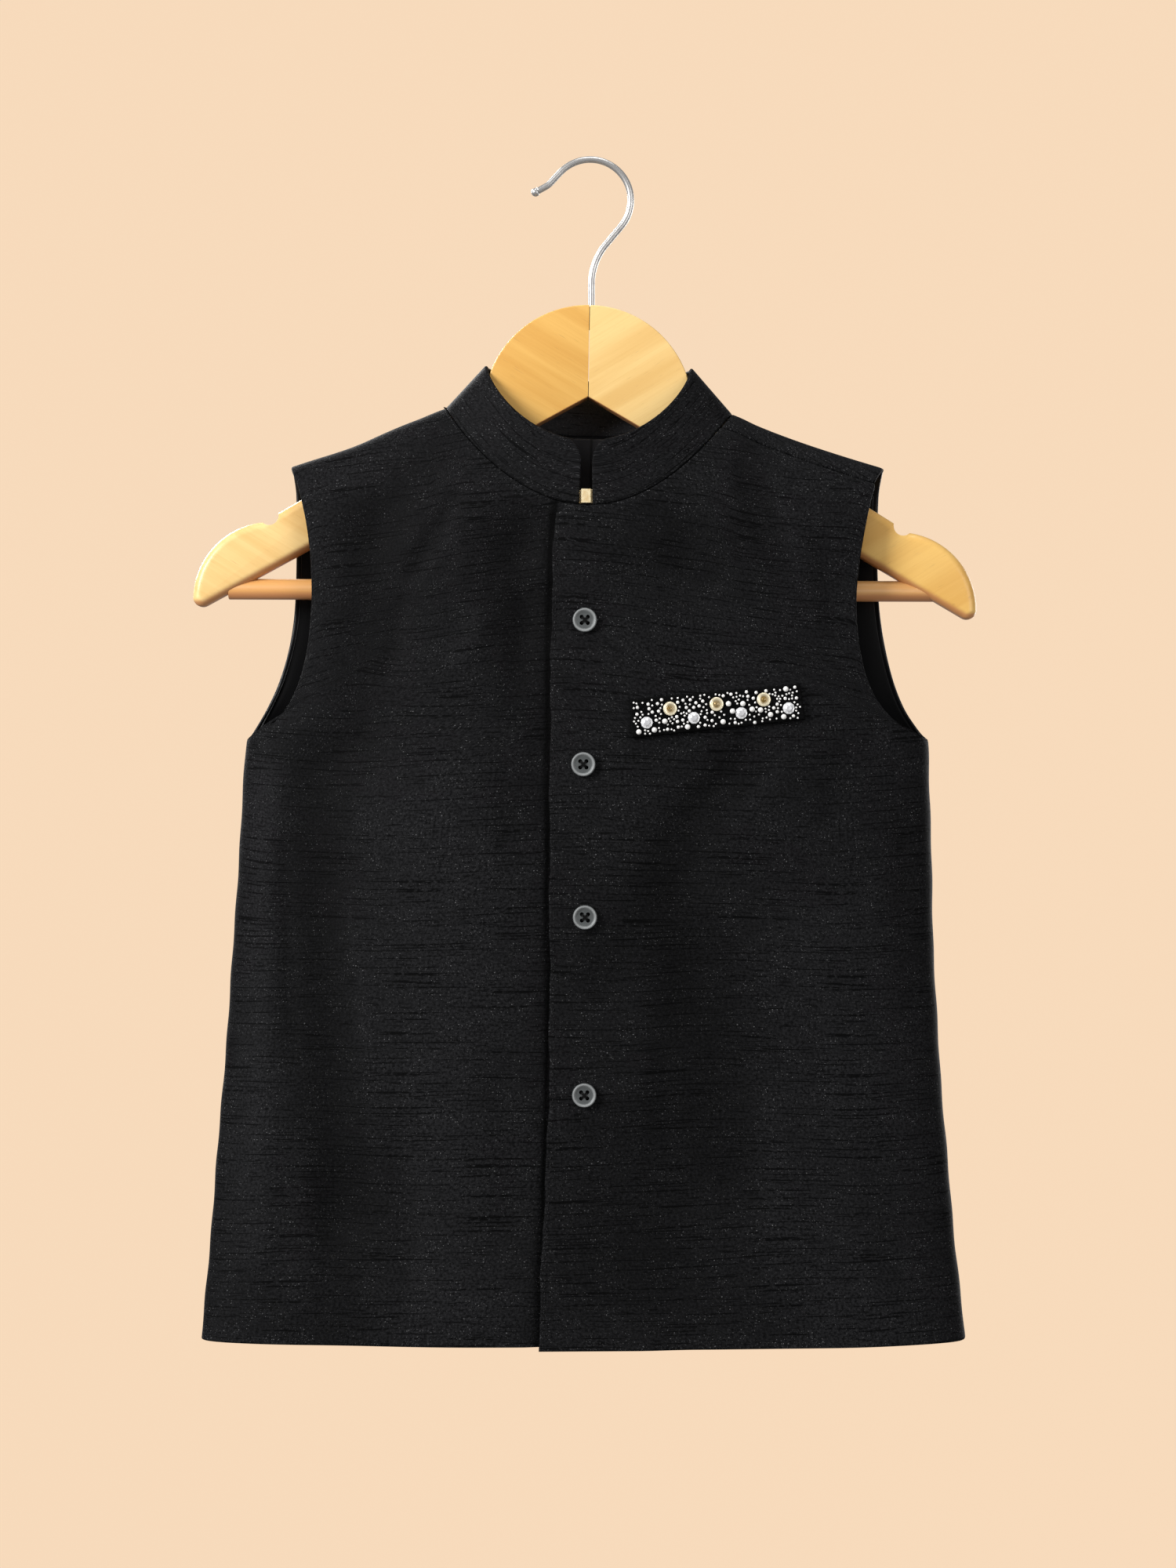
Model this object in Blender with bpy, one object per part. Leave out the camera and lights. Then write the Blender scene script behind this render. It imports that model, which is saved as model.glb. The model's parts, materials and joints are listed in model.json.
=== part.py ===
"""A child's black nehru jacket on its wooden hanger, built from the pieces a maker would cut.

The front faces -Y. Left and right are the wearer's, so left is at +X. The origin is the inside top
of the hook, where a rail carries it. The tables are in millimetres and the objects are in metres.
"""

import math
from collections import namedtuple

import bmesh
import bpy
from mathutils import Matrix, Vector

MM = 0.001
SEAM_GAP = 0.3

# Cloth
WALL = 1.8
LINING_WALL = 1.0
LINING_EASE = 1.2
LINING_INSET = 5.0
LINING_SIDE_SHARE = 0.985
LINING_TOP_DEPTH = 12.0
LINING_TOP_Z = -152.0
LINING_FOOT_Z = -524.7
COLLAR_WALL = 2.0
LAP_LIFT = 2.5
SIDE_POWER = 2.5
SHOULDER_RADIUS = 9.5
ROUNDED_M = 3.6

# Heights and widths of the body, seen from the front and from the side
UNDERARM_Z = -265.2
HEM_Z = -539.7
LAP_HEM_Z = -541.2
LAP_UNDER_X = 14.0
LAP_UNDER_DIP = 2.0
LAP_EASE = 6.0
LAP_RAMP = 28.0
FORWARD_SEAM = 9.0

# Neckline and stand collar
NECK_CENTRE_X = -0.7
NECK_HALF = 65.6
NECK_POINT_Z = -114.1
NECK_TILT = -0.0213
NECK_DROP_FRONT = 45.0
NECK_DROP_BACK = 9.6
NECK_ROUNDING = 0.9
COLLAR_TOP_HALF = 47.2
COLLAR_TOP_Z = -93.6
COLLAR_TOP_DROP_FRONT = 36.0
COLLAR_TOP_DROP_BACK = 5.0
COLLAR_TOP_FRONT_Y = 24.5
COLLAR_TOP_BACK_Y = 16.0
COLLAR_TOP_TILT = 0.6
COLLAR_TOP_DIP = 1.4
COLLAR_TOP_ROUNDING = 0.7
COLLAR_CORNER = 10.0
COLLAR_HEIGHT = 27.5
COLLAR_SEAM = 0.55
COLLAR_END_LEFT_X = -5.0
COLLAR_END_RIGHT_X = 1.0

# Trimmings
BUTTON_RADIUS = 5.75
BUTTON_HOLE_RADIUS = 0.75
BUTTON_HOLE_REACH = 1.3
WELT_WALL = 1.6
WELT_EASE = 0.6
CLASP_HEIGHT = 6.2
CLASP_FOOT_Z = -158.3
CLASP_SIDE_GAP = 0.9
CLASP_TAB = 3.5
CLASP_TAB_WALL = 0.8
CLASP_BEHIND = 0.8
CLASP_PROUD = 0.3
CLASP_NECK = 1.0

# Hanger
HANGER_TILT = math.radians(0.95)
HANGER_X = 0.8
HANGER_THICK = 12.0
HANGER_EDGE = 4.0
DOME_RADIUS = 47.9
DOME_Z = -113.9
DOME_FILLET = 8.0
ARM_SLOPE = 0.607
ARM_TOP_AT_65 = -117.5
UNDERSIDE_SLOPE = 0.555
UNDERSIDE_Z = -108.1
NOTCH_CENTRE = (145.1, -164.9)
NOTCH_RADIUS = 4.3
TIP_CENTRE = (143.8, -203.2)
TIP_RADIUS = 35.8
HEEL_RADIUS = 4.3
HEEL_LIFT = 0.6
BAR_RADIUS = 4.75
BAR_RIGHT = (-166.0, -195.8)
BAR_LEFT = (166.0, -196.9)
BAR_HOLE_DEPTH = 40.0
STEM_HOLE_TOP_Z = -50.0

# Hook
WIRE_RADIUS = 1.5
BALL_RADIUS = 2.0

# Steps along each border, so that the pieces' points match along their seams
BACK_SIDE_STEPS = (9, 8, 4)
FRONT_SIDE_STEPS = (9, 9, 4)
LAP_EDGE_STEPS = (9, 13)
BACK_SHOULDER_STEPS = 9
FRONT_SHOULDER_STEPS = 7
NECK_BACK_STEPS = 16
NECK_LEFT_STEPS = 9
NECK_RIGHT_STEPS = 10
LAP_TOP_STEPS = 3
UNDER_TOP_STEPS = 2
FORWARD_ROWS = 3
LINING_SIDE_STEPS = 15
LINING_TOP_STEPS = 22
COLLAR_ROWS = 4
COLLAR_CORNER_STEPS = 6
WELT_COLUMNS = 12
WELT_ROWS = 3
FINE_STEPS = 48

Section = namedtuple("Section", "z half_right half_left deep_front deep_back")
SECTIONS = (
    Section(-100, 144.0, 141.5, 25.5, 21.5),
    Section(-141, 146.0, 143.5, 27.0, 22.0),
    Section(-201, 149.0, 146.0, 28.5, 22.5),
    Section(-236, 152.6, 149.8, 29.5, 22.5),
    Section(-265, 157.6, 154.9, 30.0, 22.5),
    Section(-292, 159.5, 155.9, 30.0, 22.5),
    Section(-379, 165.2, 158.4, 29.0, 22.0),
    Section(-465, 172.1, 164.5, 28.0, 21.5),
    Section(-541, 178.6, 172.0, 27.5, 21.0),
)

Crest = namedtuple("Crest", "x z")
SHOULDER_LINE = (
    Crest(-180, -155.0),
    Crest(-150, -144.0),
    Crest(-137, -139.8),
    Crest(-111, -131.2),
    Crest(-95, -124.8),
    Crest(-80, -118.4),
    Crest(-66, -112.7),
    Crest(-40, -107.2),
    Crest(0, -104.4),
    Crest(40, -108.4),
    Crest(65, -115.5),
    Crest(77, -121.0),
    Crest(93, -127.1),
    Crest(109, -132.6),
    Crest(134.6, -140.7),
    Crest(150, -146.0),
    Crest(180, -157.0),
)

Armhole = namedtuple("Armhole", "z front_right back_right front_left back_left")
ARMHOLES = (
    Armhole(-140.5, 137.2, 137.2, 134.9, 134.9),
    Armhole(-151, 133.0, 136.2, 129.4, 133.6),
    Armhole(-171, 128.8, 136.1, 124.8, 133.0),
    Armhole(-191, 127.0, 136.3, 121.7, 133.2),
    Armhole(-208, 127.2, 137.2, 121.0, 134.3),
    Armhole(-224, 128.8, 139.8, 122.5, 136.9),
    Armhole(-239, 132.6, 144.3, 126.3, 140.7),
    Armhole(-251, 138.6, 149.7, 133.2, 145.5),
    Armhole(-259.5, 147.2, 154.4, 142.8, 150.8),
    Armhole(-265.2, 157.6, 157.6, 154.9, 154.9),
)

Edge = namedtuple("Edge", "z x")
LAP_EDGE = (
    Edge(-162.7, -15.6),
    Edge(-176, -16.7),
    Edge(-215, -17.8),
    Edge(-285, -18.4),
    Edge(-426, -18.8),
    Edge(-497, -21.9),
    Edge(-541.2, -23.3),
)

Fold = namedtuple("Fold", "panel top_x top_z foot_x foot_z width rise")
FOLDS = (
    Fold("front", -70, -132, -98, -170, 13, -1.6),
    Fold("front", -98, -170, -104, -262, 16, -2.6),
    Fold("front", -34, -178, -30, -212, 15, -2.8),
    Fold("front", -148, -285, -152, -500, 9, 2.2),
    Fold("front", -124, -280, -114, -480, 15, -3.6),
    Fold("front", -72, -300, -62, -520, 30, 2.6),
    Fold("front", 62, -178, 22, -186, 15, -1.4),
    Fold("front", 72, -134, 86, -184, 9, -1.4),
    Fold("front", 66, -280, 8, -372, 13, -1.8),
    Fold("front", 50, -366, 60, -458, 17, -2.8),
    Fold("front", 112, -360, 124, -534, 26, 2.6),
    Fold("back", -92, -170, -112, -250, 16, -2.2),
    Fold("back", 88, -164, 108, -256, 16, -2.4),
    Fold("back", -58, -236, -74, -520, 20, -3.0),
    Fold("back", -14, -200, -22, -538, 26, 2.4),
    Fold("back", 46, -262, 56, -500, 17, -2.8),
    Fold("back", 104, -300, 122, -534, 22, 2.4),
    Fold("back", -126, -330, -140, -534, 15, 2.0),
)

Trim = namedtuple("Trim", "x z")
BUTTONS = (Trim(-2.5, -211.5), Trim(-3.2, -276.4), Trim(-2.5, -345.2), Trim(-2.8, -425.3))
WELT_CORNERS = {
    "foot_inner": Trim(18.3, -264.8),
    "foot_outer": Trim(96.8, -256.3),
    "top_outer": Trim(94.6, -240.0),
    "top_inner": Trim(17.6, -247.1),
}

Ring = namedtuple("Ring", "radius height")
BUTTON_PROFILE = (
    Ring(4.4, 0.0),
    Ring(BUTTON_RADIUS, 0.8),
    Ring(BUTTON_RADIUS, 1.7),
    Ring(5.3, 2.4),
    Ring(4.8, 2.4),
    Ring(4.2, 1.7),
)

Bend = namedtuple("Bend", "straight turn radius")
HOOK_BENDS = (
    Bend(28.0, -40, 9.0),
    Bend(17.9, 173, 18.7),
    Bend(6.0, -17, 10.0),
    Bend(5.5, 0, 1.0),
)

Finish = namedtuple("Finish", "colour roughness metallic")
FINISHES = {
    "black_dupion": Finish((0.011, 0.011, 0.012), 0.62, 0.0),
    "black_satin": Finish((0.004, 0.004, 0.005), 0.35, 0.0),
    "grey_button": Finish((0.10, 0.10, 0.105), 0.4, 0.0),
    "gilt_brass": Finish((0.62, 0.42, 0.16), 0.3, 1.0),
    "pale_wood": Finish((0.78, 0.50, 0.22), 0.45, 0.0),
    "bright_steel": Finish((0.62, 0.62, 0.62), 0.22, 1.0),
}


def read(table, key, value, at):
    """The value column of a table at a point between its rows, on a smooth curve through them."""
    rows = sorted((getattr(row, key), getattr(row, value)) for row in table)
    last = len(rows) - 1
    low = max(0, min(last - 1, sum(1 for row in rows if row[0] <= at) - 1))

    def slope(i):
        before, after = rows[max(0, i - 1)], rows[min(last, i + 1)]
        return (after[1] - before[1]) / (after[0] - before[0])

    (x0, y0), (x1, y1) = rows[low], rows[low + 1]
    span = x1 - x0
    if at <= x0 and low == 0:
        return y0 + slope(0) * (at - x0)
    if at >= x1 and low + 1 == last:
        return y1 + slope(last) * (at - x1)
    t = (at - x0) / span
    return (
        y0 * (1 + 2 * t) * (1 - t) ** 2
        + y1 * t * t * (3 - 2 * t)
        + span * (slope(low) * t * (1 - t) ** 2 - slope(low + 1) * t * t * (1 - t))
    )


def ease(t):
    """A smooth step from 0 to 1."""
    t = max(0.0, min(1.0, t))
    return t * t * (3 - 2 * t)


def crest(x):
    """Height of the shoulder line, which carries on unseen across the neck."""
    return read(SHOULDER_LINE, "x", "z", x)


def half_width(x, z):
    return read(SECTIONS, "z", "half_right" if x < 0 else "half_left", z)


def fold_rise(panel, x, z):
    """How far the folds of the front or the back lift the cloth at this place."""
    rise = 0.0
    for fold in FOLDS:
        if fold.panel != panel:
            continue
        top = Vector((fold.top_x, fold.top_z))
        run = Vector((fold.foot_x, fold.foot_z)) - top
        along = max(0.0, min(1.0, (Vector((x, z)) - top).dot(run) / run.dot(run)))
        away = (Vector((x, z)) - top - run * along).length / fold.width
        rise += fold.rise * math.exp(-away * away)
    return rise


def lap_lift(x):
    """How far the closing front stands off the one beneath, and eases back beyond its edge."""
    return LAP_LIFT * (1 - ease((x - LAP_UNDER_X - LAP_EASE) / LAP_RAMP))


def cloth(m, a, lap=False):
    """A point on the outside of the jacket.

    a runs from one side seam, -1, to the other, +1. m is the square root of the depth below the
    shoulder line, less than 0 at the back and more than 0 at the front, so it passes over the
    shoulder smoothly. lap is for the front that closes over the other.
    """
    t = math.sin(a * math.pi / 2)
    z = crest(0) - m * m
    for _ in range(8):
        x = t * half_width(t, z)
        z = crest(x) - m * m
    panel = "front" if m > 0 else "back"
    deep = read(SECTIONS, "z", "deep_" + panel, z)
    side = (1 - min(1.0, abs(t)) ** SIDE_POWER) ** (1 / SIDE_POWER)
    length = max(1e-6, (deep * side) ** 2 / SHOULDER_RADIUS)
    shoulder = math.sqrt(1 - (1 - min(1.0, m * m / length)) ** 2)
    out = (deep + fold_rise(panel, x, z)) * side * shoulder
    if lap:
        out += lap_lift(x)
    return Vector((x, -out if m > 0 else out, z))


def spot(panel, x, z):
    """The m and a of the place on the front or back that is seen at x and z."""
    m = math.sqrt(max(0.0, crest(x) - z))
    t = max(-1.0, min(1.0, x / half_width(x, z)))
    return (m if panel == "front" else -m, math.asin(t) * 2 / math.pi)


def front_neck_z(x):
    across = max(0.0, 1 - ((x - NECK_CENTRE_X) / NECK_HALF) ** 2)
    power = NECK_ROUNDING if x < NECK_CENTRE_X else 1.0
    return NECK_POINT_Z + NECK_TILT * x - NECK_DROP_FRONT * across**power


def back_neck_z(x):
    across = max(0.0, 1 - ((x - NECK_CENTRE_X) / NECK_HALF) ** 2)
    return NECK_POINT_Z + NECK_TILT * x - NECK_DROP_BACK * across**NECK_ROUNDING


def normal(place, u, v, step=0.0004):
    """The way out of a surface, square to it. Going along u and then v turns outwards."""
    along_u = place(u + 10 * step, v) - place(u - 10 * step, v)
    along_v = place(u, v + step) - place(u, v - step)
    return along_u.cross(along_v).normalized()


def line(start, end, count=24):
    return [tuple(s + (e - s) * i / count for s, e in zip(start, end)) for i in range(count + 1)]


def spaced(place, path, count):
    """count + 1 places along a path in m and a, evenly spaced by their distance on the cloth."""
    points = [place(*p) for p in path]
    runs = [0.0]
    for before, after in zip(points, points[1:]):
        runs.append(runs[-1] + (after - before).length)
    found = []
    for i in range(count + 1):
        want = runs[-1] * i / count
        k = max(0, min(len(path) - 2, sum(1 for run in runs if run <= want) - 1))
        part = (want - runs[k]) / max(1e-9, runs[k + 1] - runs[k])
        found.append(tuple(p + (q - p) * part for p, q in zip(path[k], path[k + 1])))
    return found


def legs(place, *parts):
    """One border made of several paths. A path with a number is spaced into that many steps."""
    border = []
    for path, count in parts:
        stretch = spaced(place, path, count) if count else path
        border += stretch[1:] if border else stretch
    return border


def patch(foot, top, low, high):
    """The places of a panel between its borders: foot and top run from its low side to its high one.

    The low side is the one at lower x. Both sides run from the foot to the top.
    """
    foot, top, low, high = (
        [Vector((m, math.sin(a * math.pi / 2))) for m, a in border] for border in (foot, top, low, high)
    )
    columns, rows = len(foot) - 1, len(low) - 1
    grid = []
    for r in range(rows + 1):
        v = r / rows
        row = []
        for c in range(columns + 1):
            u = c / columns
            corners = foot[0].lerp(foot[-1], u).lerp(top[0].lerp(top[-1], u), v)
            m, t = foot[c].lerp(top[c], v) + low[r].lerp(high[r], u) - corners
            row.append((m, math.asin(max(-1.0, min(1.0, t))) * 2 / math.pi))
        grid.append(row)
    return grid


def grid_quads(grid):
    """The grid's places as one list, and its faces."""
    wide = len(grid[0])
    quads = []
    for r in range(len(grid) - 1):
        for c in range(wide - 1):
            low = r * wide + c
            quads.append((low, low + 1, low + wide + 1, low + wide))
    return [place for row in grid for place in row], quads


def new_object(name, mesh, finish):
    mesh.materials.append(finish)
    made = bpy.data.objects.new(name, mesh)
    bpy.context.scene.collection.objects.link(made)
    return made


def mesh_from(name, points, faces, smooth_angle=40):
    """A closed mesh in metres from points in millimetres, its faces turned outwards."""
    work = bmesh.new()
    verts = [work.verts.new(Vector(p) * MM) for p in points]
    for face in faces:
        work.faces.new([verts[i] for i in face])
    bmesh.ops.recalc_face_normals(work, faces=work.faces)
    mesh = bpy.data.meshes.new(name)
    work.to_mesh(mesh)
    work.free()
    mesh.shade_smooth()
    mesh.set_sharp_from_angle(angle=math.radians(smooth_angle))
    return mesh


def wall(name, place, places, quads, thick, finish, out=0.0):
    """A piece of cloth with a real thickness. Its outer side lies out from the surface."""
    outer, inner = [], []
    for u, v in places:
        way = normal(place, u, v)
        point = place(u, v) + way * out
        outer.append(point)
        inner.append(point - way * thick)
    count = len(places)
    faces = [tuple(reversed(q)) for q in quads]
    faces += [tuple(i + count for i in q) for q in quads]
    borders = {}
    for quad in quads:
        for start, end in zip(quad, quad[1:] + quad[:1]):
            if (end, start) in borders:
                del borders[(end, start)]
            else:
                borders[(start, end)] = True
    faces += [(start, end, end + count, start + count) for start, end in borders]
    return new_object(name, mesh_from(name, outer + inner, faces), finish)


def seam_a(side):
    """The side seam's a, half a gap short of the fold."""
    gap = (SEAM_GAP / 2 / SECTIONS[4].deep_back) ** SIDE_POWER
    return side * (1 - math.sqrt(8 * gap / SIDE_POWER) / math.pi)


def seam_m():
    """Half a seam's gap, in m, at the shoulder line."""
    return SEAM_GAP / 2 / math.sqrt(2 * SHOULDER_RADIUS)


def side_border(panel, side, foot_z, steps, tip_m):
    """The border up the side seam and round the armhole to the shoulder tip."""
    side_name = "right" if side < 0 else "left"
    edge = seam_a(side)
    foot_m = spot(panel, edge * half_width(side, foot_z), foot_z)[0]
    under_m = spot(panel, edge * half_width(side, UNDERARM_Z), UNDERARM_Z)[0]
    rising = []
    tip_x = side * read(ARMHOLES, "z", f"{panel}_{side_name}", ARMHOLES[0].z)
    top_z = crest(tip_x) - tip_m * abs(tip_m)
    for i in range(FINE_STEPS + 1):
        z = UNDERARM_Z + (top_z - UNDERARM_Z) * (1 - (1 - i / FINE_STEPS) ** 2)
        x = side * read(ARMHOLES, "z", f"{panel}_{side_name}", z)
        rising.append(spot(panel, x, z))
    rising[0] = (under_m, edge)
    rising[-1] = (tip_m, rising[-1][1])
    rounding = next(i for i, place in enumerate(rising) if abs(place[0]) < ROUNDED_M)
    return [
        (line((foot_m, edge), (under_m, edge)), steps[0]),
        (rising[: rounding + 1], steps[1]),
        (rising[rounding:], steps[2]),
    ]


def neck_x(turn):
    """A place across the neckline from its turn about the neck, 0 at the wearer's left point."""
    return NECK_CENTRE_X + NECK_HALF * math.cos(turn)


def neck_turn_at(depth):
    """The turn at which the left front's neckline lies this far below the shoulder line."""
    low, high = 0.0, math.pi / 2
    for _ in range(40):
        turn = (low + high) / 2
        if crest(neck_x(turn)) - front_neck_z(neck_x(turn)) < depth:
            low = turn
        else:
            high = turn
    return -low


def even(start, end, count):
    return [start + (end - start) * i / count for i in range(count + 1)]


def neck_turns():
    """The turns at which the pieces' edges have points along the neck seam, stretch by stretch."""
    right_end = -math.acos((COLLAR_END_RIGHT_X - NECK_CENTRE_X) / NECK_HALF)
    left_end = 2 * math.pi - math.acos((COLLAR_END_LEFT_X - NECK_CENTRE_X) / NECK_HALF)
    seam = math.sqrt(FORWARD_SEAM)
    return {
        "left_front": even(right_end, neck_turn_at(seam**2), NECK_LEFT_STEPS),
        "shoulder": [
            neck_turn_at((seam * row / FORWARD_ROWS) ** 2) for row in range(FORWARD_ROWS - 1, 0, -1)
        ],
        "back": even(0.0, math.pi, NECK_BACK_STEPS),
        "right_front": even(math.pi, left_end, NECK_RIGHT_STEPS),
    }


def neck_border(panel, turns):
    """The neckline's places at these turns, as m and a."""
    height = front_neck_z if panel == "front" else back_neck_z
    return [spot(panel, neck_x(turn), height(neck_x(turn))) for turn in turns]


def shoulder_path(panel, side, m, start_x, out=True):
    """Along the shoulder seam from the neck to the armhole, or back when out is False."""
    side_name = "right" if side < 0 else "left"
    tip_z = crest(side * ARMHOLES[0].back_right) - m * m
    tip_x = side * read(ARMHOLES, "z", f"{panel}_{side_name}", min(tip_z, ARMHOLES[0].z))
    way = []
    for i in range(25):
        x = start_x + (tip_x - start_x) * i / 24
        z = crest(x) - m * m
        way.append((m, spot(panel, x, z)[1]))
    return way if out else way[::-1]


def hem_path(panel, start_x, end_x, foot_z, count, end_z=None):
    """Places along the hem, closer together towards the side seams. It may end at another height."""
    end_z = foot_z if end_z is None else end_z
    start, end = (math.asin(max(-1, min(1, x / half_width(x, foot_z)))) for x in (start_x, end_x))
    way = []
    for i in range(count + 1):
        across = math.sin(start + (end - start) * i / count)
        z = foot_z + (end_z - foot_z) * i / count
        way.append(spot(panel, across * half_width(across, foot_z), z))
    return way


def pinned(border, first=None, last=None):
    """The border with its ends moved onto its neighbours' corners."""
    if first:
        border[0] = first
    if last:
        border[-1] = last
    return border


def build_back(finish):
    """The back, cut in one, with its left shoulder carried forward over the fold."""
    gap = seam_m()
    low = legs(cloth, *side_border("back", -1, HEM_Z, BACK_SIDE_STEPS, -gap))
    high = legs(cloth, *side_border("back", 1, HEM_Z, BACK_SIDE_STEPS, 0.0))
    neck_low, neck_high = neck_x(math.pi), neck_x(0.0)
    neck_end = spot("back", neck_high, crest(neck_high))[1]
    top = legs(
        cloth,
        (shoulder_path("back", -1, -gap, neck_low, out=False), BACK_SHOULDER_STEPS),
        (pinned(neck_border("back", neck_turns()["back"][::-1]), last=(0.0, neck_end)), None),
        (shoulder_path("back", 1, 0.0, neck_high), BACK_SHOULDER_STEPS),
    )
    foot = hem_path("back", -half_width(-1, HEM_Z), half_width(1, HEM_Z), HEM_Z, len(top) - 1)
    pinned(foot, low[0], high[0])
    pinned(top, low[-1], high[-1])
    grid = patch(foot, top, low, high)
    places, quads = grid_quads(grid)

    # The strip that goes over the left shoulder to the forward seam
    seam = math.sqrt(FORWARD_SEAM) - gap
    below = list(range(len(places) - BACK_SHOULDER_STEPS - 1, len(places)))
    for step in range(1, FORWARD_ROWS + 1):
        m = seam * step / FORWARD_ROWS
        start_x = neck_x(neck_turn_at(m * m))
        here = list(range(len(places), len(places) + len(below)))
        places += legs(cloth, (shoulder_path("front", 1, m, start_x), BACK_SHOULDER_STEPS))
        quads += [
            (below[i], below[i + 1], here[i + 1], here[i]) for i in range(BACK_SHOULDER_STEPS)
        ]
        below = here
    return wall("back_panel", cloth, places, quads, WALL, finish)


def front_right_grid():
    """The under front, on the wearer's right."""
    low = legs(cloth, *side_border("front", -1, HEM_Z, FRONT_SIDE_STEPS, seam_m()))
    neck_low = neck_x(math.pi)
    neck = neck_border("front", neck_turns()["right_front"])
    dip = spot("front", LAP_UNDER_X, front_neck_z(LAP_UNDER_X) - LAP_UNDER_DIP)
    top = legs(
        cloth,
        (shoulder_path("front", -1, seam_m(), neck_low, out=False), FRONT_SHOULDER_STEPS),
        (pinned(neck, first=(seam_m(), neck[0][1])), None),
        (line(neck[-1], dip), UNDER_TOP_STEPS),
    )
    foot = hem_path("front", -half_width(-1, HEM_Z), LAP_UNDER_X, HEM_Z, len(top) - 1)
    high = legs(
        cloth,
        (line(foot[-1], spot("front", LAP_UNDER_X, UNDERARM_Z)), LAP_EDGE_STEPS[0]),
        (line(spot("front", LAP_UNDER_X, UNDERARM_Z), dip), LAP_EDGE_STEPS[1]),
    )
    pinned(foot, low[0], high[0])
    pinned(top, low[-1], high[-1])
    return patch(foot, top, low, high)


def lap_cloth(m, a):
    return cloth(m, a, lap=True)


def lap_edge(low_z, high_z, count=24):
    """Up the free edge of the front that closes over the other."""
    way = []
    for i in range(count + 1):
        z = low_z + (high_z - low_z) * i / count
        way.append(spot("front", read(LAP_EDGE, "z", "x", z), z))
    return way


def front_left_grid():
    """The front that closes over the other, on the wearer's left."""
    seam = math.sqrt(FORWARD_SEAM) + seam_m()
    high = legs(cloth, *side_border("front", 1, HEM_Z, FRONT_SIDE_STEPS, seam))
    corner = spot("front", LAP_EDGE[0].x, LAP_EDGE[0].z)
    collar_end = spot("front", COLLAR_END_RIGHT_X, front_neck_z(COLLAR_END_RIGHT_X))
    neck_end_x = neck_x(neck_turn_at(seam**2))
    neck = neck_border("front", neck_turns()["left_front"])
    top = legs(
        cloth,
        (line(corner, collar_end), LAP_TOP_STEPS),
        (pinned(neck, last=spot("front", neck_end_x, crest(neck_end_x) - seam**2)), None),
        (shoulder_path("front", 1, seam, neck_end_x), FRONT_SHOULDER_STEPS),
    )
    hem_x = LAP_EDGE[-1].x
    foot = hem_path("front", hem_x, half_width(1, HEM_Z), LAP_HEM_Z, len(top) - 1, HEM_Z)
    low = legs(
        cloth,
        (lap_edge(LAP_HEM_Z, UNDERARM_Z), LAP_EDGE_STEPS[0]),
        (lap_edge(UNDERARM_Z, LAP_EDGE[0].z), LAP_EDGE_STEPS[1]),
    )
    pinned(foot, low[0], high[0])
    pinned(top, low[-1], high[-1])
    return patch(foot, top, low, high)


def build_fronts(finish):
    places, quads = grid_quads(front_right_grid())
    wall("front_right", cloth, places, quads, WALL, finish)
    places, quads = grid_quads(front_left_grid())
    wall("front_left", lap_cloth, places, quads, WALL, finish)


def build_lining(finish):
    """The back's lining, seen through the neck and the armholes."""
    sides = {}
    for side in (-1, 1):
        name = "back_right" if side < 0 else "back_left"
        way = []
        for i in range(FINE_STEPS + 1):
            z = LINING_FOOT_Z + (LINING_TOP_Z - LINING_FOOT_Z) * i / FINE_STEPS
            reach = half_width(side, z) * LINING_SIDE_SHARE
            if z > UNDERARM_Z:
                reach = min(reach, read(ARMHOLES, "z", name, z) - LINING_INSET)
            way.append(spot("back", side * reach, z))
        sides[side] = legs(cloth, (way, LINING_SIDE_STEPS))
    top = []
    start_x, end_x = (cloth(*sides[side][-1]).x for side in (-1, 1))
    for i in range(FINE_STEPS + 1):
        x = start_x + (end_x - start_x) * i / FINE_STEPS
        top.append(spot("back", x, min(crest(x) - LINING_TOP_DEPTH, back_neck_z(x) - 1.0)))
    top = legs(cloth, (top, LINING_TOP_STEPS))
    foot_x = [cloth(*sides[side][0]).x for side in (-1, 1)]
    foot = hem_path("back", foot_x[0], foot_x[1], LINING_FOOT_Z, LINING_TOP_STEPS)
    pinned(foot, sides[-1][0], sides[1][0])
    pinned(top, sides[-1][-1], sides[1][-1])
    places, quads = grid_quads(patch(foot, top, sides[-1], sides[1]))
    wall("back_lining", cloth, places, quads, LINING_WALL, finish, out=-(WALL + LINING_EASE))


def collar_base(turn):
    """A point of the neckline. turn is the angle about the neck's centre, 0 at the wearer's left."""
    x = neck_x(turn)
    if math.sin(turn) < 0:
        return cloth(*spot("front", x, front_neck_z(x)), lap=x > NECK_CENTRE_X)
    return cloth(*spot("back", x, back_neck_z(x)))


def collar_top(turn):
    """A point of the stand collar's upper edge."""
    x = NECK_CENTRE_X + COLLAR_TOP_HALF * math.cos(turn)
    away = abs(math.sin(turn))
    front = math.sin(turn) < 0
    drop = COLLAR_TOP_DROP_FRONT if front else COLLAR_TOP_DROP_BACK
    reach = -COLLAR_TOP_FRONT_Y if front else COLLAR_TOP_BACK_Y
    lift = lap_lift(x) if front and x > NECK_CENTRE_X else 0.0
    z = COLLAR_TOP_Z + NECK_TILT * x * COLLAR_TOP_TILT - drop * away**COLLAR_TOP_DIP
    return Vector((x, reach * away**COLLAR_TOP_ROUNDING - lift, z))


def collar_place(turn, height):
    """A point of the collar: height 0 is just above the neck seam, 1 is the upper edge."""
    foot, head = collar_base(turn), collar_top(turn)
    start = COLLAR_SEAM / (head - foot).length
    return foot.lerp(head, start + (1 - start) * height)


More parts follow.
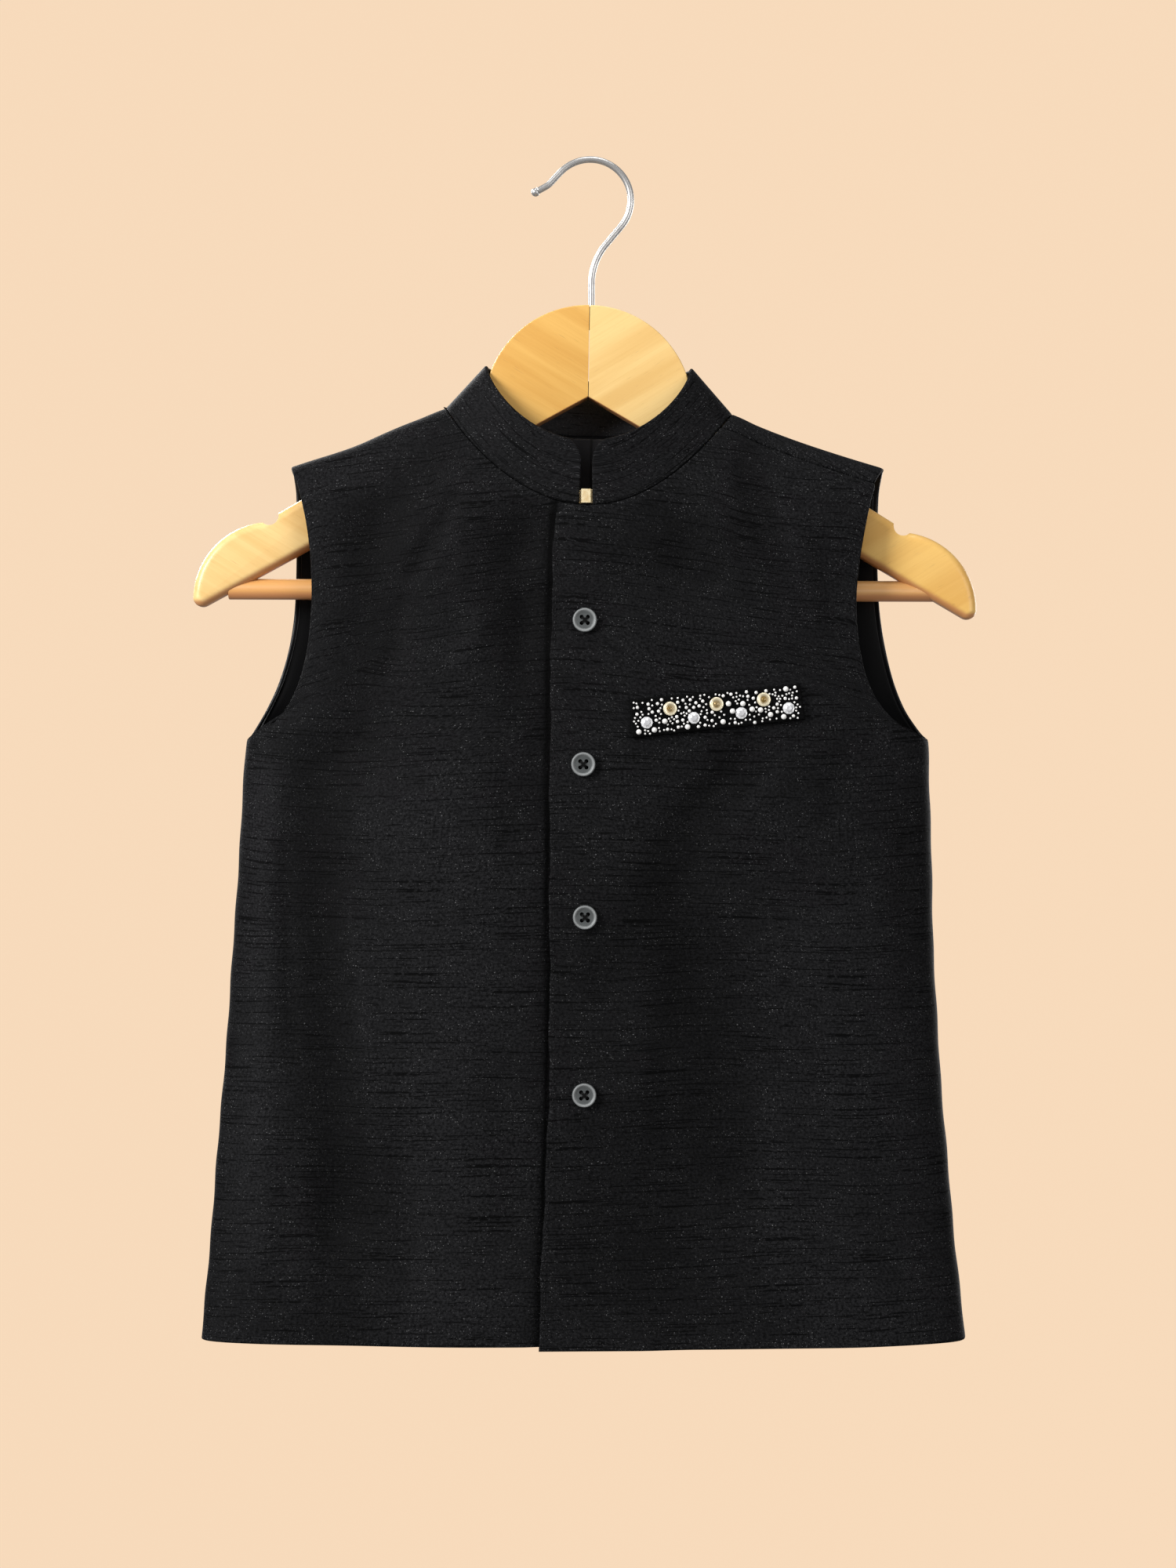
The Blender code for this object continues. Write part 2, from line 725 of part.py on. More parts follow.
def build_collar(finish):
    """The stand collar, one band from end to end, with its front corners rounded."""
    seam = neck_turns()
    turns = seam["left_front"] + seam["shoulder"] + seam["back"] + seam["right_front"][1:]
    start, end = turns[0], turns[-1]
    near = COLLAR_CORNER / NECK_HALF
    for i in range(1, COLLAR_CORNER_STEPS):
        step = near * (1 - math.cos(math.pi / 2 * i / COLLAR_CORNER_STEPS))
        turns += [start + step, end - step]
    turns.sort()
    turns = [start] + [turn for before, turn in zip(turns, turns[1:]) if turn - before > 0.004]
    grid = []
    for r in range(COLLAR_ROWS + 1):
        row = []
        for turn in turns:
            away = min(turn - start, end - turn) / near
            round_off = 1 - math.sqrt(max(0.0, 1 - (1 - min(1.0, away)) ** 2))
            tall = 1 - round_off * COLLAR_CORNER / COLLAR_HEIGHT
            row.append((turn, tall * r / COLLAR_ROWS))
        grid.append(row)
    places, quads = grid_quads(grid)
    wall("collar", collar_place, places, quads, COLLAR_WALL, finish)


def welt_place(u, v):
    """A point of the pocket mouth on the front: u runs along it, v up it."""
    foot = [a + (b - a) * u for a, b in zip(WELT_CORNERS["foot_inner"], WELT_CORNERS["foot_outer"])]
    head = [a + (b - a) * u for a, b in zip(WELT_CORNERS["top_inner"], WELT_CORNERS["top_outer"])]
    x, z = (a + (b - a) * v for a, b in zip(foot, head))
    return lap_cloth(*spot("front", x, z))


def build_welt(finish):
    grid = [
        [(c / WELT_COLUMNS, r / WELT_ROWS) for c in range(WELT_COLUMNS + 1)] for r in range(WELT_ROWS + 1)
    ]
    places, quads = grid_quads(grid)
    wall("pocket_welt", welt_place, places, quads, WELT_WALL, finish, out=WELT_EASE + WELT_WALL)


def turned(profile, sides):
    """The points and faces of a closed turned shape, its profile running from foot to head."""
    points, faces = [], []
    for ring in profile:
        for i in range(sides):
            turn = 2 * math.pi * i / sides
            points.append((ring.radius * math.cos(turn), ring.radius * math.sin(turn), ring.height))
    for k in range(len(profile) - 1):
        for i in range(sides):
            j = (i + 1) % sides
            faces.append((k * sides + i, k * sides + j, (k + 1) * sides + j, (k + 1) * sides + i))
    last = (len(profile) - 1) * sides
    faces.append(tuple(reversed(range(sides))))
    faces.append(tuple(last + i for i in range(sides)))
    return points, faces


def rod(start, end, radius, sides):
    """The points and faces of a plain round rod."""
    start, end = Vector(start), Vector(end)
    way = (end - start).normalized()
    side = way.orthogonal().normalized()
    other = way.cross(side)
    points = []
    for centre in (start, end):
        for i in range(sides):
            turn = 2 * math.pi * (i + 0.5) / sides
            points.append(centre + (side * math.cos(turn) + other * math.sin(turn)) * radius)
    faces = [tuple(reversed(range(sides))), tuple(range(sides, 2 * sides))]
    for i in range(sides):
        j = (i + 1) % sides
        faces.append((i, j, sides + j, sides + i))
    return points, faces


def cutter(name, shapes):
    """One hidden object of several closed shapes that cut a piece."""
    points, faces = [], []
    for shape_points, shape_faces in shapes:
        first = len(points)
        points += [tuple(p) for p in shape_points]
        faces += [tuple(i + first for i in face) for face in shape_faces]
    made = bpy.data.objects.new(name, mesh_from(name, points, faces))
    bpy.context.scene.collection.objects.link(made)
    made.hide_render = True
    made.display_type = "WIRE"
    return made


def cut(piece, tool):
    modifier = piece.modifiers.new("cut", "BOOLEAN")
    modifier.operation = "DIFFERENCE"
    modifier.solver = "EXACT"
    modifier.object = tool


def build_buttons(finish):
    """Four dished buttons with a raised rim and four holes, each square to the cloth under it."""
    points, faces = turned(BUTTON_PROFILE, 20)
    mesh = mesh_from("button", points, faces, smooth_angle=30)
    mesh.materials.append(finish)
    holes = []
    for across in (-1, 1):
        for up in (-1, 1):
            x, y = across * BUTTON_HOLE_REACH, up * BUTTON_HOLE_REACH
            holes.append(rod((x, y, -1.0), (x, y, 4.0), BUTTON_HOLE_RADIUS, 6))
    for number, trim in enumerate(BUTTONS, start=1):
        m, a = spot("front", trim.x, trim.z)
        way = normal(lap_cloth, m, a)
        seat = lap_cloth(m, a) + way * SEAM_GAP
        turn = way.to_track_quat("Z", "Y").to_matrix().to_4x4()
        placed = Matrix.Translation(seat * MM) @ turn
        button = bpy.data.objects.new(f"button_{number}", mesh)
        bpy.context.scene.collection.objects.link(button)
        button.matrix_world = placed
        tool = cutter(f"button_{number}_holes", holes)
        tool.matrix_world = placed
        cut(button, tool)


def build_clasp(finish):
    """The gilt hook plate that joins the collar's ends, with a tab behind each."""
    seam = neck_turns()
    high, low = collar_base(seam["left_front"][0]), collar_base(seam["right_front"][-1])
    behind = COLLAR_WALL + CLASP_BEHIND
    low_x, high_x = low.x + CLASP_SIDE_GAP, high.x - CLASP_SIDE_GAP
    face_y = high.y - CLASP_PROUD
    outline = [
        (low_x, face_y),
        (high_x, face_y),
        (high_x, high.y + behind),
        (high.x + CLASP_TAB, high.y + behind),
        (high.x + CLASP_TAB, high.y + behind + CLASP_TAB_WALL),
        (high_x - CLASP_NECK, high.y + behind + CLASP_TAB_WALL),
        (high_x - CLASP_NECK, low.y + behind + CLASP_TAB_WALL),
        (low.x - CLASP_TAB, low.y + behind + CLASP_TAB_WALL),
        (low.x - CLASP_TAB, low.y + behind),
        (low_x, low.y + behind),
    ]
    count = len(outline)
    points = [(x, y, CLASP_FOOT_Z) for x, y in outline]
    points += [(x, y, CLASP_FOOT_Z + CLASP_HEIGHT) for x, y in outline]
    faces = [tuple(reversed(range(count))), tuple(range(count, 2 * count))]
    for i in range(count):
        j = (i + 1) % count
        faces.append((i, j, count + j, count + i))
    new_object("collar_clasp", mesh_from("collar_clasp", points, faces), finish)


def arc(centre, radius, start, end, steps):
    """Points of an arc, its angles in degrees."""
    turns = [math.radians(start + (end - start) * i / steps) for i in range(steps + 1)]
    return [(centre[0] + radius * math.cos(t), centre[1] + radius * math.sin(t)) for t in turns]


def arm_top(across):
    return ARM_TOP_AT_65 - ARM_SLOPE * (across - 65)


def half_hanger_outline():
    """One half of the hanger seen from the front: distance from its middle, and height."""
    slope = math.atan(ARM_SLOPE)
    # The fillet touches the dome and the arm's top edge, so its centre is a radius from both.
    reach = DOME_RADIUS + DOME_FILLET
    lift = (arm_top(0) + DOME_FILLET / math.cos(slope)) - DOME_Z
    low, high = 0.0, 90.0
    for _ in range(50):
        turn = (low + high) / 2
        x, z = reach * math.cos(math.radians(turn)), reach * math.sin(math.radians(turn))
        if z > lift - ARM_SLOPE * x:
            high = turn
        else:
            low = turn
    fillet = (reach * math.cos(math.radians(turn)), DOME_Z + reach * math.sin(math.radians(turn)))
    gap = SEAM_GAP / 2
    first = math.degrees(math.acos(gap / DOME_RADIUS))
    outline = arc((0, DOME_Z), DOME_RADIUS, first, turn, 12)
    outline += arc(fillet, DOME_FILLET, 180 + turn, 270 - math.degrees(slope), 3)[1:]
    outline += arc(TIP_CENTRE, TIP_RADIUS, 83, 2, 9)
    heel = (TIP_CENTRE[0] + TIP_RADIUS - HEEL_RADIUS, TIP_CENTRE[1] + HEEL_LIFT)
    outline += arc(heel, HEEL_RADIUS, -25, -119, 4)
    outline.append((gap, UNDERSIDE_Z - UNDERSIDE_SLOPE * gap))
    return outline


def shrunk(outline, by):
    """The outline moved inwards. It runs clockwise, and its two ends stay on the middle joint."""
    moved = []
    count = len(outline)
    for i, (x, z) in enumerate(outline):
        before, after = outline[i - 1], outline[(i + 1) % count]
        ways = []
        for (x0, z0), (x1, z1) in ((before, (x, z)), ((x, z), after)):
            length = math.hypot(x1 - x0, z1 - z0)
            ways.append(((z1 - z0) / length, -(x1 - x0) / length))
        if i == 0:
            moved.append((x, z - by))
        elif i == count - 1:
            moved.append((x, z + by * math.hypot(1, UNDERSIDE_SLOPE)))
        else:
            share = 1 + ways[0][0] * ways[1][0] + ways[0][1] * ways[1][1]
            moved.append(
                (
                    x + by * (ways[0][0] + ways[1][0]) / share,
                    z + by * (ways[0][1] + ways[1][1]) / share,
                )
            )
    return moved


def build_hanger(finish):
    """Two wooden halves that meet in the middle, bored for the hook's stem and for the bar."""
    outline = half_hanger_outline()
    half = HANGER_THICK / 2
    soft = HANGER_EDGE * (1 - math.sqrt(0.5))
    levels = [
        (HANGER_EDGE, -half),
        (soft, -half + soft),
        (0.0, -half + HANGER_EDGE),
        (0.0, half - HANGER_EDGE),
        (soft, half - soft),
        (HANGER_EDGE, half),
    ]
    tilt = Matrix.Rotation(HANGER_TILT, 4, "Y")
    stem = hook_path()[0]
    bar_hole = BAR_RADIUS + SEAM_GAP
    for side, name in ((-1, "hanger_half_right"), (1, "hanger_half_left")):
        points, faces = [], []
        for by, y in levels:
            for x, z in shrunk(outline, by):
                points.append(tilt @ Vector((HANGER_X + side * x, y, z)))
        count = len(outline)
        for k in range(len(levels) - 1):
            for i in range(count):
                j = (i + 1) % count
                faces.append((k * count + i, k * count + j, (k + 1) * count + j, (k + 1) * count + i))
        faces.append(tuple(range(count)))
        faces.append(tuple(range((len(levels) - 1) * count, len(levels) * count)))
        piece = new_object(name, mesh_from(name, points, faces), finish)
        stem_top = (stem.x, 0, STEM_HOLE_TOP_Z)
        stem_hole = rod((stem.x, 0, stem.z - SEAM_GAP), stem_top, WIRE_RADIUS + SEAM_GAP, 12)
        near = BAR_RIGHT if side < 0 else BAR_LEFT
        inward, outward = near[0] - side * BAR_HOLE_DEPTH, near[0] + side * SEAM_GAP
        seat = rod((inward, 0, bar_z(inward)), (outward, 0, bar_z(outward)), bar_hole, 20)
        x, z = HANGER_X + side * NOTCH_CENTRE[0], NOTCH_CENTRE[1]
        before, behind = (tilt @ Vector((x, y, z)) for y in (-HANGER_THICK, HANGER_THICK))
        notch = rod(before, behind, NOTCH_RADIUS, 16)
        cut(piece, cutter(name + "_holes", [stem_hole, seat, notch]))


def bar_z(x):
    """Height of the trouser bar, which lies a little off level."""
    share = (x - BAR_RIGHT[0]) / (BAR_LEFT[0] - BAR_RIGHT[0])
    return BAR_RIGHT[1] + (BAR_LEFT[1] - BAR_RIGHT[1]) * share


def build_bar(finish):
    ends = [(x, 0, z) for x, z in (BAR_RIGHT, BAR_LEFT)]
    points, faces = rod(ends[0], ends[1], BAR_RADIUS, 20)
    new_object("trouser_bar", mesh_from("trouser_bar", points, faces), finish)


def hook_path():
    """The wire's centre line from the foot of its stem to its ball, the rail's seat at the origin."""
    x, z, heading = 0.0, 0.0, math.radians(90)
    points = [Vector((x, 0, z))]
    for bend in HOOK_BENDS:
        x += bend.straight * math.cos(heading)
        z += bend.straight * math.sin(heading)
        points.append(Vector((x, 0, z)))
        steps = max(1, round(abs(bend.turn) / 14))
        turn = math.radians(bend.turn) / steps
        chord = 2 * bend.radius * math.sin(abs(turn) / 2)
        for _ in range(steps if bend.turn else 0):
            heading += turn / 2
            x += chord * math.cos(heading)
            z += chord * math.sin(heading)
            heading += turn / 2
            points.append(Vector((x, 0, z)))
    highest = max(points, key=lambda point: point.z)
    shift = Vector((-highest.x, 0, WIRE_RADIUS - highest.z))
    return [point + shift for point in points]


def build_hook(finish):
    """Bent round wire that ends in a small ball."""
    path = hook_path()
    sides = 10
    ball = path.pop()
    way = (ball - path[-1]).normalized()
    radii = [WIRE_RADIUS] * len(path)
    for turn in (128, 90, 50, 15):
        path.append(ball + way * BALL_RADIUS * math.cos(math.radians(turn)))
        radii.append(BALL_RADIUS * math.sin(math.radians(turn)))
    points, faces = [], []
    for i, (centre, radius) in enumerate(zip(path, radii)):
        before, after = path[max(0, i - 1)], path[min(len(path) - 1, i + 1)]
        along = (after - before).normalized()
        across = Vector((0, 1, 0))
        other = along.cross(across)
        for k in range(sides):
            turn = 2 * math.pi * k / sides
            points.append(centre + (across * math.cos(turn) + other * math.sin(turn)) * radius)
    for k in range(len(path) - 1):
        for i in range(sides):
            j = (i + 1) % sides
            faces.append((k * sides + i, k * sides + j, (k + 1) * sides + j, (k + 1) * sides + i))
    faces.append(tuple(reversed(range(sides))))
    faces.append(tuple(range((len(path) - 1) * sides, len(path) * sides)))
    new_object("hook", mesh_from("hook", points, faces), finish)


def make_finishes():
    made = {}
    for name, finish in FINISHES.items():
        material = bpy.data.materials.new(name)
        material.use_nodes = True
        shader = material.node_tree.nodes["Principled BSDF"]
        shader.inputs["Base Color"].default_value = (*finish.colour, 1)
        shader.inputs["Roughness"].default_value = finish.roughness
        shader.inputs["Metallic"].default_value = finish.metallic
        made[name] = material
    return made


def main():
    for old in list(bpy.data.objects):
        bpy.data.objects.remove(old, do_unlink=True)
    finishes = make_finishes()
    build_back(finishes["black_dupion"])
    build_fronts(finishes["black_dupion"])
    build_lining(finishes["black_satin"])
    build_collar(finishes["black_dupion"])
    build_welt(finishes["black_dupion"])
    build_buttons(finishes["grey_button"])
    build_clasp(finishes["gilt_brass"])
    build_hanger(finishes["pale_wood"])
    build_bar(finishes["pale_wood"])
    build_hook(finishes["bright_steel"])


main()
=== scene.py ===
"""The looks of a child's black nehru jacket on its wooden hanger.

Left and right are the wearer's, so left is at +X, and the front faces -Y. The tables are in
millimetres and the pieces are made in metres.
"""

import json
import math
import random
from collections import namedtuple

import bmesh
import bpy
import numpy as np
from mathutils import Matrix, Vector
from mathutils.kdtree import KDTree

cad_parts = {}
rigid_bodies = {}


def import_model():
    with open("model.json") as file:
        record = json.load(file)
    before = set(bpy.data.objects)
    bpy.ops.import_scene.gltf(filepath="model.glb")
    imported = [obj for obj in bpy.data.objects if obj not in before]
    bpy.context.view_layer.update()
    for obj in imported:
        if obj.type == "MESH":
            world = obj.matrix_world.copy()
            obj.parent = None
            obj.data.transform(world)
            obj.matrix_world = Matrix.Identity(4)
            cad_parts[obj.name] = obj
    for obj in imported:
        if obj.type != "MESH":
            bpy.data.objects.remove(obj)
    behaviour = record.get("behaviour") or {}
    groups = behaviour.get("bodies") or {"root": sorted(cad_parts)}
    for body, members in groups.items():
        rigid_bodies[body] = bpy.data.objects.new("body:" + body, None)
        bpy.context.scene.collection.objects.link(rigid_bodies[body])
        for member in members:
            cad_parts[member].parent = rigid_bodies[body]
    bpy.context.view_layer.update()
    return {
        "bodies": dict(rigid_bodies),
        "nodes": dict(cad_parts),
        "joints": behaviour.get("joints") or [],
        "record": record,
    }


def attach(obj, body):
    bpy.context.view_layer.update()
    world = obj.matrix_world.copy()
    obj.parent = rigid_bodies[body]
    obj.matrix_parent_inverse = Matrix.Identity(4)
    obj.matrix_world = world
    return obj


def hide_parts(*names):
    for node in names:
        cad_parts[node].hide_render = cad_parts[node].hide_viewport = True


MM = 0.001
BODY = "root"

# The form that the cloth shares with its solids. The side edges are tucked over each other.
SEAM_GAP = 0.05
SIDE_TUCK = 0.07
JOINT_GAP = 0.3
SIDE_POWER = 2.5
SHOULDER_RADIUS = 9.5
UNDERARM_Z = -265.2
HEM_Z = -539.7
LAP_HEM_Z = -541.2
LAP_UNDER_X = 14.0
LAP_UNDER_DIP = 2.0
LAP_LIFT = 2.5
LAP_EASE = 6.0
LAP_RAMP = 28.0
PRESS_WIDTH = 5.0
PRESS_DEPTH = 1.5
PRESS_TOP_Z = -150
PRESS_FADE = 20
FORWARD_SEAM = 9.0
ROUNDED_M = 3.6
NECK_CENTRE_X = -0.7
NECK_HALF = 65.6
NECK_POINT_Z = -114.1
NECK_TILT = -0.0213
NECK_DROP_FRONT = 45.0
NECK_DROP_BACK = 9.6
NECK_ROUNDING = 0.9
COLLAR_TOP_HALF = 47.2
COLLAR_TOP_Z = -93.6
COLLAR_TOP_DROP_FRONT = 36.0
COLLAR_TOP_DROP_BACK = 5.0
COLLAR_TOP_FRONT_Y = 24.5
COLLAR_TOP_BACK_Y = 16.0
COLLAR_TOP_TILT = 0.6
COLLAR_TOP_DIP = 1.4
COLLAR_TOP_ROUNDING = 0.7
COLLAR_CORNER = 10.0
COLLAR_HEIGHT = 27.5
COLLAR_SEAM = -0.15
COLLAR_SEAM_BACK = -0.9
COLLAR_END_RIGHT_X = -5.0
COLLAR_END_LEFT_X = 1.0

# How deep a fold is before its painted shade in a trough and painted light on a crest are full,
# and how much painted shade the cloth has beside the lap and seams
FOLD_SHADE_DEPTH = 2.5
LAP_SHADE = 2.0
LAP_SHADE_WIDTH = 1.6
LAP_SHADE_AWAY = 0.8
SEAM_SHADE = 2.0
SEAM_SHADE_WIDTH = 0.7

# Cloth
CLOTH_THICK = 1.6
COLLAR_THICK = 1.9
LINING_THICK = 0.9
LINING_IN = 3.0
LINING_INSET = 1.8
LINING_RISE = 1.25
LINING_SIDE_SHARE = 0.985
LINING_TOP_DEPTH = 12.0
LINING_TOP_Z = -152.0
LINING_FOOT_Z = -524.7
LINING_DRAWN_REACH = 5.0
LINING_NECK_Z = -135
LINING_NECK_REACH = 45
LINING_NECK_LIGHT = 7.0
LINING_SHADE = 0.45
WELT_LENGTH = 79
WELT_HEIGHT = 17
WELT_THICK = 1.5
WELT_OUT = 2.2
RIM_REACH = 2.4
FINE_STEPS = 96
# How far the extra rows of faces along an edge are from it
EDGE_ROWS = (0.12, 0.35, 0.7, 1.2)

# Small uneven waves: how high, how many by height and across, and where they start
Wave = namedtuple("Wave", "rise by_z by_x start")
EDGE_WAVES = (Wave(0.22, 0.21, 0.05, 0.0), Wave(0.154, 0.083, -0.11, 1.3), Wave(0.11, 0.0, 0.19, 0.4))
EDGE_WAVES_REACH = 9.0
EDGE_WAVES_CLEAR = 1.5
LAP_WAVES = (Wave(0.32, 0.115, 0.0, 0.0), Wave(0.20, 0.29, 0.0, 1.0), Wave(0.12, 0.61, 0.0, 0.0))
LAP_WAVES_FADE = 12

Section = namedtuple("Section", "z half_right half_left deep_front deep_back")
SECTIONS = (
    Section(-100, 144.0, 141.5, 25.5, 21.5),
    Section(-141, 146.0, 143.5, 27.0, 22.0),
    Section(-201, 149.0, 146.0, 28.5, 22.5),
    Section(-236, 152.6, 149.8, 29.5, 22.5),
    Section(-265, 157.6, 154.9, 30.0, 22.5),
    Section(-292, 159.5, 155.9, 30.0, 22.5),
    Section(-379, 165.2, 158.4, 29.0, 22.0),
    Section(-465, 172.1, 164.5, 28.0, 21.5),
    Section(-541, 178.6, 172.0, 27.5, 21.0),
)

Crest = namedtuple("Crest", "x z")
SHOULDER_LINE = (
    Crest(-180, -155.0),
    Crest(-150, -144.0),
    Crest(-137, -139.8),
    Crest(-111, -131.2),
    Crest(-95, -124.8),
    Crest(-80, -118.4),
    Crest(-66, -112.7),
    Crest(-40, -107.2),
    Crest(0, -104.4),
    Crest(40, -108.4),
    Crest(65, -115.5),
    Crest(77, -121.0),
    Crest(93, -127.1),
    Crest(109, -132.6),
    Crest(134.6, -140.7),
    Crest(150, -146.0),
    Crest(180, -157.0),
)

Armhole = namedtuple("Armhole", "z front_right back_right front_left back_left")
ARMHOLES = (
    Armhole(-140.5, 137.2, 137.2, 134.9, 134.9),
    Armhole(-151, 133.0, 136.2, 129.4, 133.6),
    Armhole(-171, 128.8, 136.1, 124.8, 133.0),
    Armhole(-191, 127.0, 136.3, 121.7, 133.2),
    Armhole(-208, 127.2, 137.2, 121.0, 134.3),
    Armhole(-224, 128.8, 139.8, 122.5, 136.9),
    Armhole(-239, 132.6, 144.3, 126.3, 140.7),
    Armhole(-251, 138.6, 149.7, 133.2, 145.5),
    Armhole(-259.5, 147.2, 154.4, 142.8, 150.8),
    Armhole(-265.2, 157.6, 157.6, 154.9, 154.9),
)

Edge = namedtuple("Edge", "z x")
LAP_EDGE = (
    Edge(-162.7, -15.6),
    Edge(-176, -16.7),
    Edge(-215, -17.8),
    Edge(-285, -18.4),
    Edge(-426, -18.8),
    Edge(-497, -21.9),
    Edge(-541.2, -23.3),
)

# The broad folds that the solids have too
Fold = namedtuple("Fold", "panel top_x top_z foot_x foot_z width rise")
FOLDS = (
    Fold("front", -70, -132, -98, -170, 13, -1.6),
    Fold("front", -98, -170, -104, -262, 16, -2.6),
    Fold("front", -34, -178, -30, -212, 15, -2.8),
    Fold("front", -148, -285, -152, -500, 9, 2.2),
    Fold("front", -124, -280, -114, -480, 15, -3.6),
    Fold("front", -72, -300, -62, -520, 30, 2.6),
    Fold("front", 62, -178, 22, -186, 15, -1.4),
    Fold("front", 72, -134, 86, -184, 9, -1.4),
    Fold("front", 66, -280, 8, -372, 13, -1.8),
    Fold("front", 50, -366, 60, -458, 17, -2.8),
    Fold("front", 112, -360, 124, -534, 26, 2.6),
    Fold("back", -92, -170, -112, -250, 16, -2.2),
    Fold("back", 88, -164, 108, -256, 16, -2.4),
    Fold("back", -58, -236, -74, -520, 20, -3.0),
    Fold("back", -14, -200, -22, -538, 26, 2.4),
    Fold("back", 46, -262, 56, -500, 17, -2.8),
    Fold("back", 104, -300, 122, -534, 22, 2.4),
    Fold("back", -126, -330, -140, -534, 15, 2.0),
)

# Softer and finer creases that only the cloth has, fading at both ends
CREASE_DEPTH = 1.5
CREASES = (
    Fold("front", -26, -156, -31, -190, 11, -1.2),
    Fold("front", -26, -205, -25, -310, 8, -1.1),
    Fold("front", 16, -425, 22, -534, 24, -1.3),
    Fold("front", 38, -318, 40, -404, 12, -1.1),
    Fold("front", 20, -160, 52, -176, 9, -0.8),
    Fold("front", -112, -450, -116, -590, 26, -1.2),
    Fold("front", -58, -150, -84, -196, 5, -0.9),
    Fold("front", -84, -196, -92, -240, 6, -0.7),
    Fold("front", -30, -196, -38, -262, 7, -1.0),
    Fold("front", -46, -206, -60, -236, 6, 0.8),
    Fold("front", -140, -300, -136, -420, 5, -0.9),
    Fold("front", -152, -300, -150, -352, 5, 0.6),
    Fold("front", -108, -330, -98, -430, 7, 0.8),
    Fold("front", -88, -430, -80, -525, 8, -0.8),
    Fold("front", -40, -262, -34, -330, 7, -0.6),
    Fold("front", -44, -400, -36, -500, 8, -0.8),
    Fold("front", -128, -440, -132, -532, 8, 0.9),
    Fold("front", 66, -138, 78, -178, 4, -0.6),
    Fold("front", 84, -140, 98, -196, 5, 0.6),
    Fold("front", 104, -166, 110, -226, 5, -0.7),
    Fold("front", 30, -176, 58, -200, 6, -0.7),
    Fold("front", 40, -196, 78, -222, 7, 0.5),
    Fold("front", 76, -262, 26, -320, 6, -0.8),
    Fold("front", 96, -268, 62, -310, 6, 0.6),
    Fold("front", 118, -262, 104, -310, 6, -0.8),
    Fold("front", 36, -396, 28, -462, 7, -0.7),
    Fold("front", 82, -420, 90, -522, 9, 0.9),
    Fold("front", 140, -300, 146, -400, 7, -0.9),
    Fold("front", 100, -380, 104, -440, 6, -0.5),
    Fold("front", 128, -440, 138, -530, 8, -0.8),
    Fold("back", -76, -132, -96, -186, 6, -0.8),
    Fold("back", 74, -136, 92, -184, 6, -0.8),
    Fold("back", -40, -150, -22, -176, 7, -0.7),
    Fold("back", 36, -152, 16, -180, 7, -0.6),
    Fold("back", -100, -262, -96, -360, 7, -0.9),
    Fold("back", -36, -300, -44, -420, 8, 0.8),
    Fold("back", 20, -230, 26, -330, 7, -0.7),
    Fold("back", 74, -330, 84, -450, 8, 0.9),
    Fold("back", 128, -290, 134, -400, 7, -0.9),
    Fold("back", -132, -280, -138, -372, 6, -0.8),
    Fold("back", 2, -440, 8, -532, 9, -0.8),
    Fold("back", -92, -440, -100, -532, 8, 0.8),
)

Trim = namedtuple("Trim", "x z")
BUTTONS = (Trim(-2.5, -211.5), Trim(-3.2, -276.4), Trim(-2.5, -345.2), Trim(-2.8, -425.3))
WELT_CORNERS = {
    "foot_inner": Trim(18.3, -264.8),
    "foot_outer": Trim(96.8, -256.3),
    "top_outer": Trim(94.6, -240.0),
    "top_inner": Trim(17.6, -247.1),
}

# Hanger
HANGER_TILT = math.radians(0.95)
HANGER_X = 0.8
HANGER_THICK = 12.0
HANGER_EDGE = 4.0
HANGER_CRISP = 0.16
CRISP_TO_X = 44.0
CRISP_FADE = 12
DOME_RADIUS = 47.9
DOME_Z = -113.9
DOME_FILLET = 8.0
ARM_SLOPE = 0.607
ARM_TOP_AT_65 = -117.5
UNDERSIDE_SLOPE = 0.555
UNDERSIDE_Z = -108.1
NOTCH_CENTRE = (145.1, -164.9)
NOTCH_RADIUS = 4.3
TIP_CENTRE = (143.8, -203.2)
TIP_RADIUS = 35.8
TIP_TURN = (83, 2)
HEEL_RADIUS = 4.3
HEEL_LIFT = 0.6
HEEL_TURN = (-4, -119)
STRAIGHT_STEP = 5.0
BAR_RADIUS = 4.75
BAR_RIGHT = (-166.0, -195.8)
BAR_LEFT = (166.0, -196.9)

# The hook's wire: a straight run, a turn in degrees and its radius, from the foot of the stem up
WIRE_RADIUS = 1.5
BALL_RADIUS = 2.0
Bend = namedtuple("Bend", "straight turn radius")
HOOK_BENDS = (
    Bend(21.1, -40, 28.0),
    Bend(11.0, 177, 18.7),
    Bend(6.3, -18, 10.0),
    Bend(5.2, 0, 1.0),
)

# Camera and room
CAMERA_AT = (-1.08, -1600.0, -285.24)
CAMERA_LENS = 80
FLOOR_Z = -2.1
ROOM_RADIUS = 6.0
ROOM_BEND = 2.2
ROOM_TOP = 4.5
BACKDROP = (0.930, 0.701, 0.497)


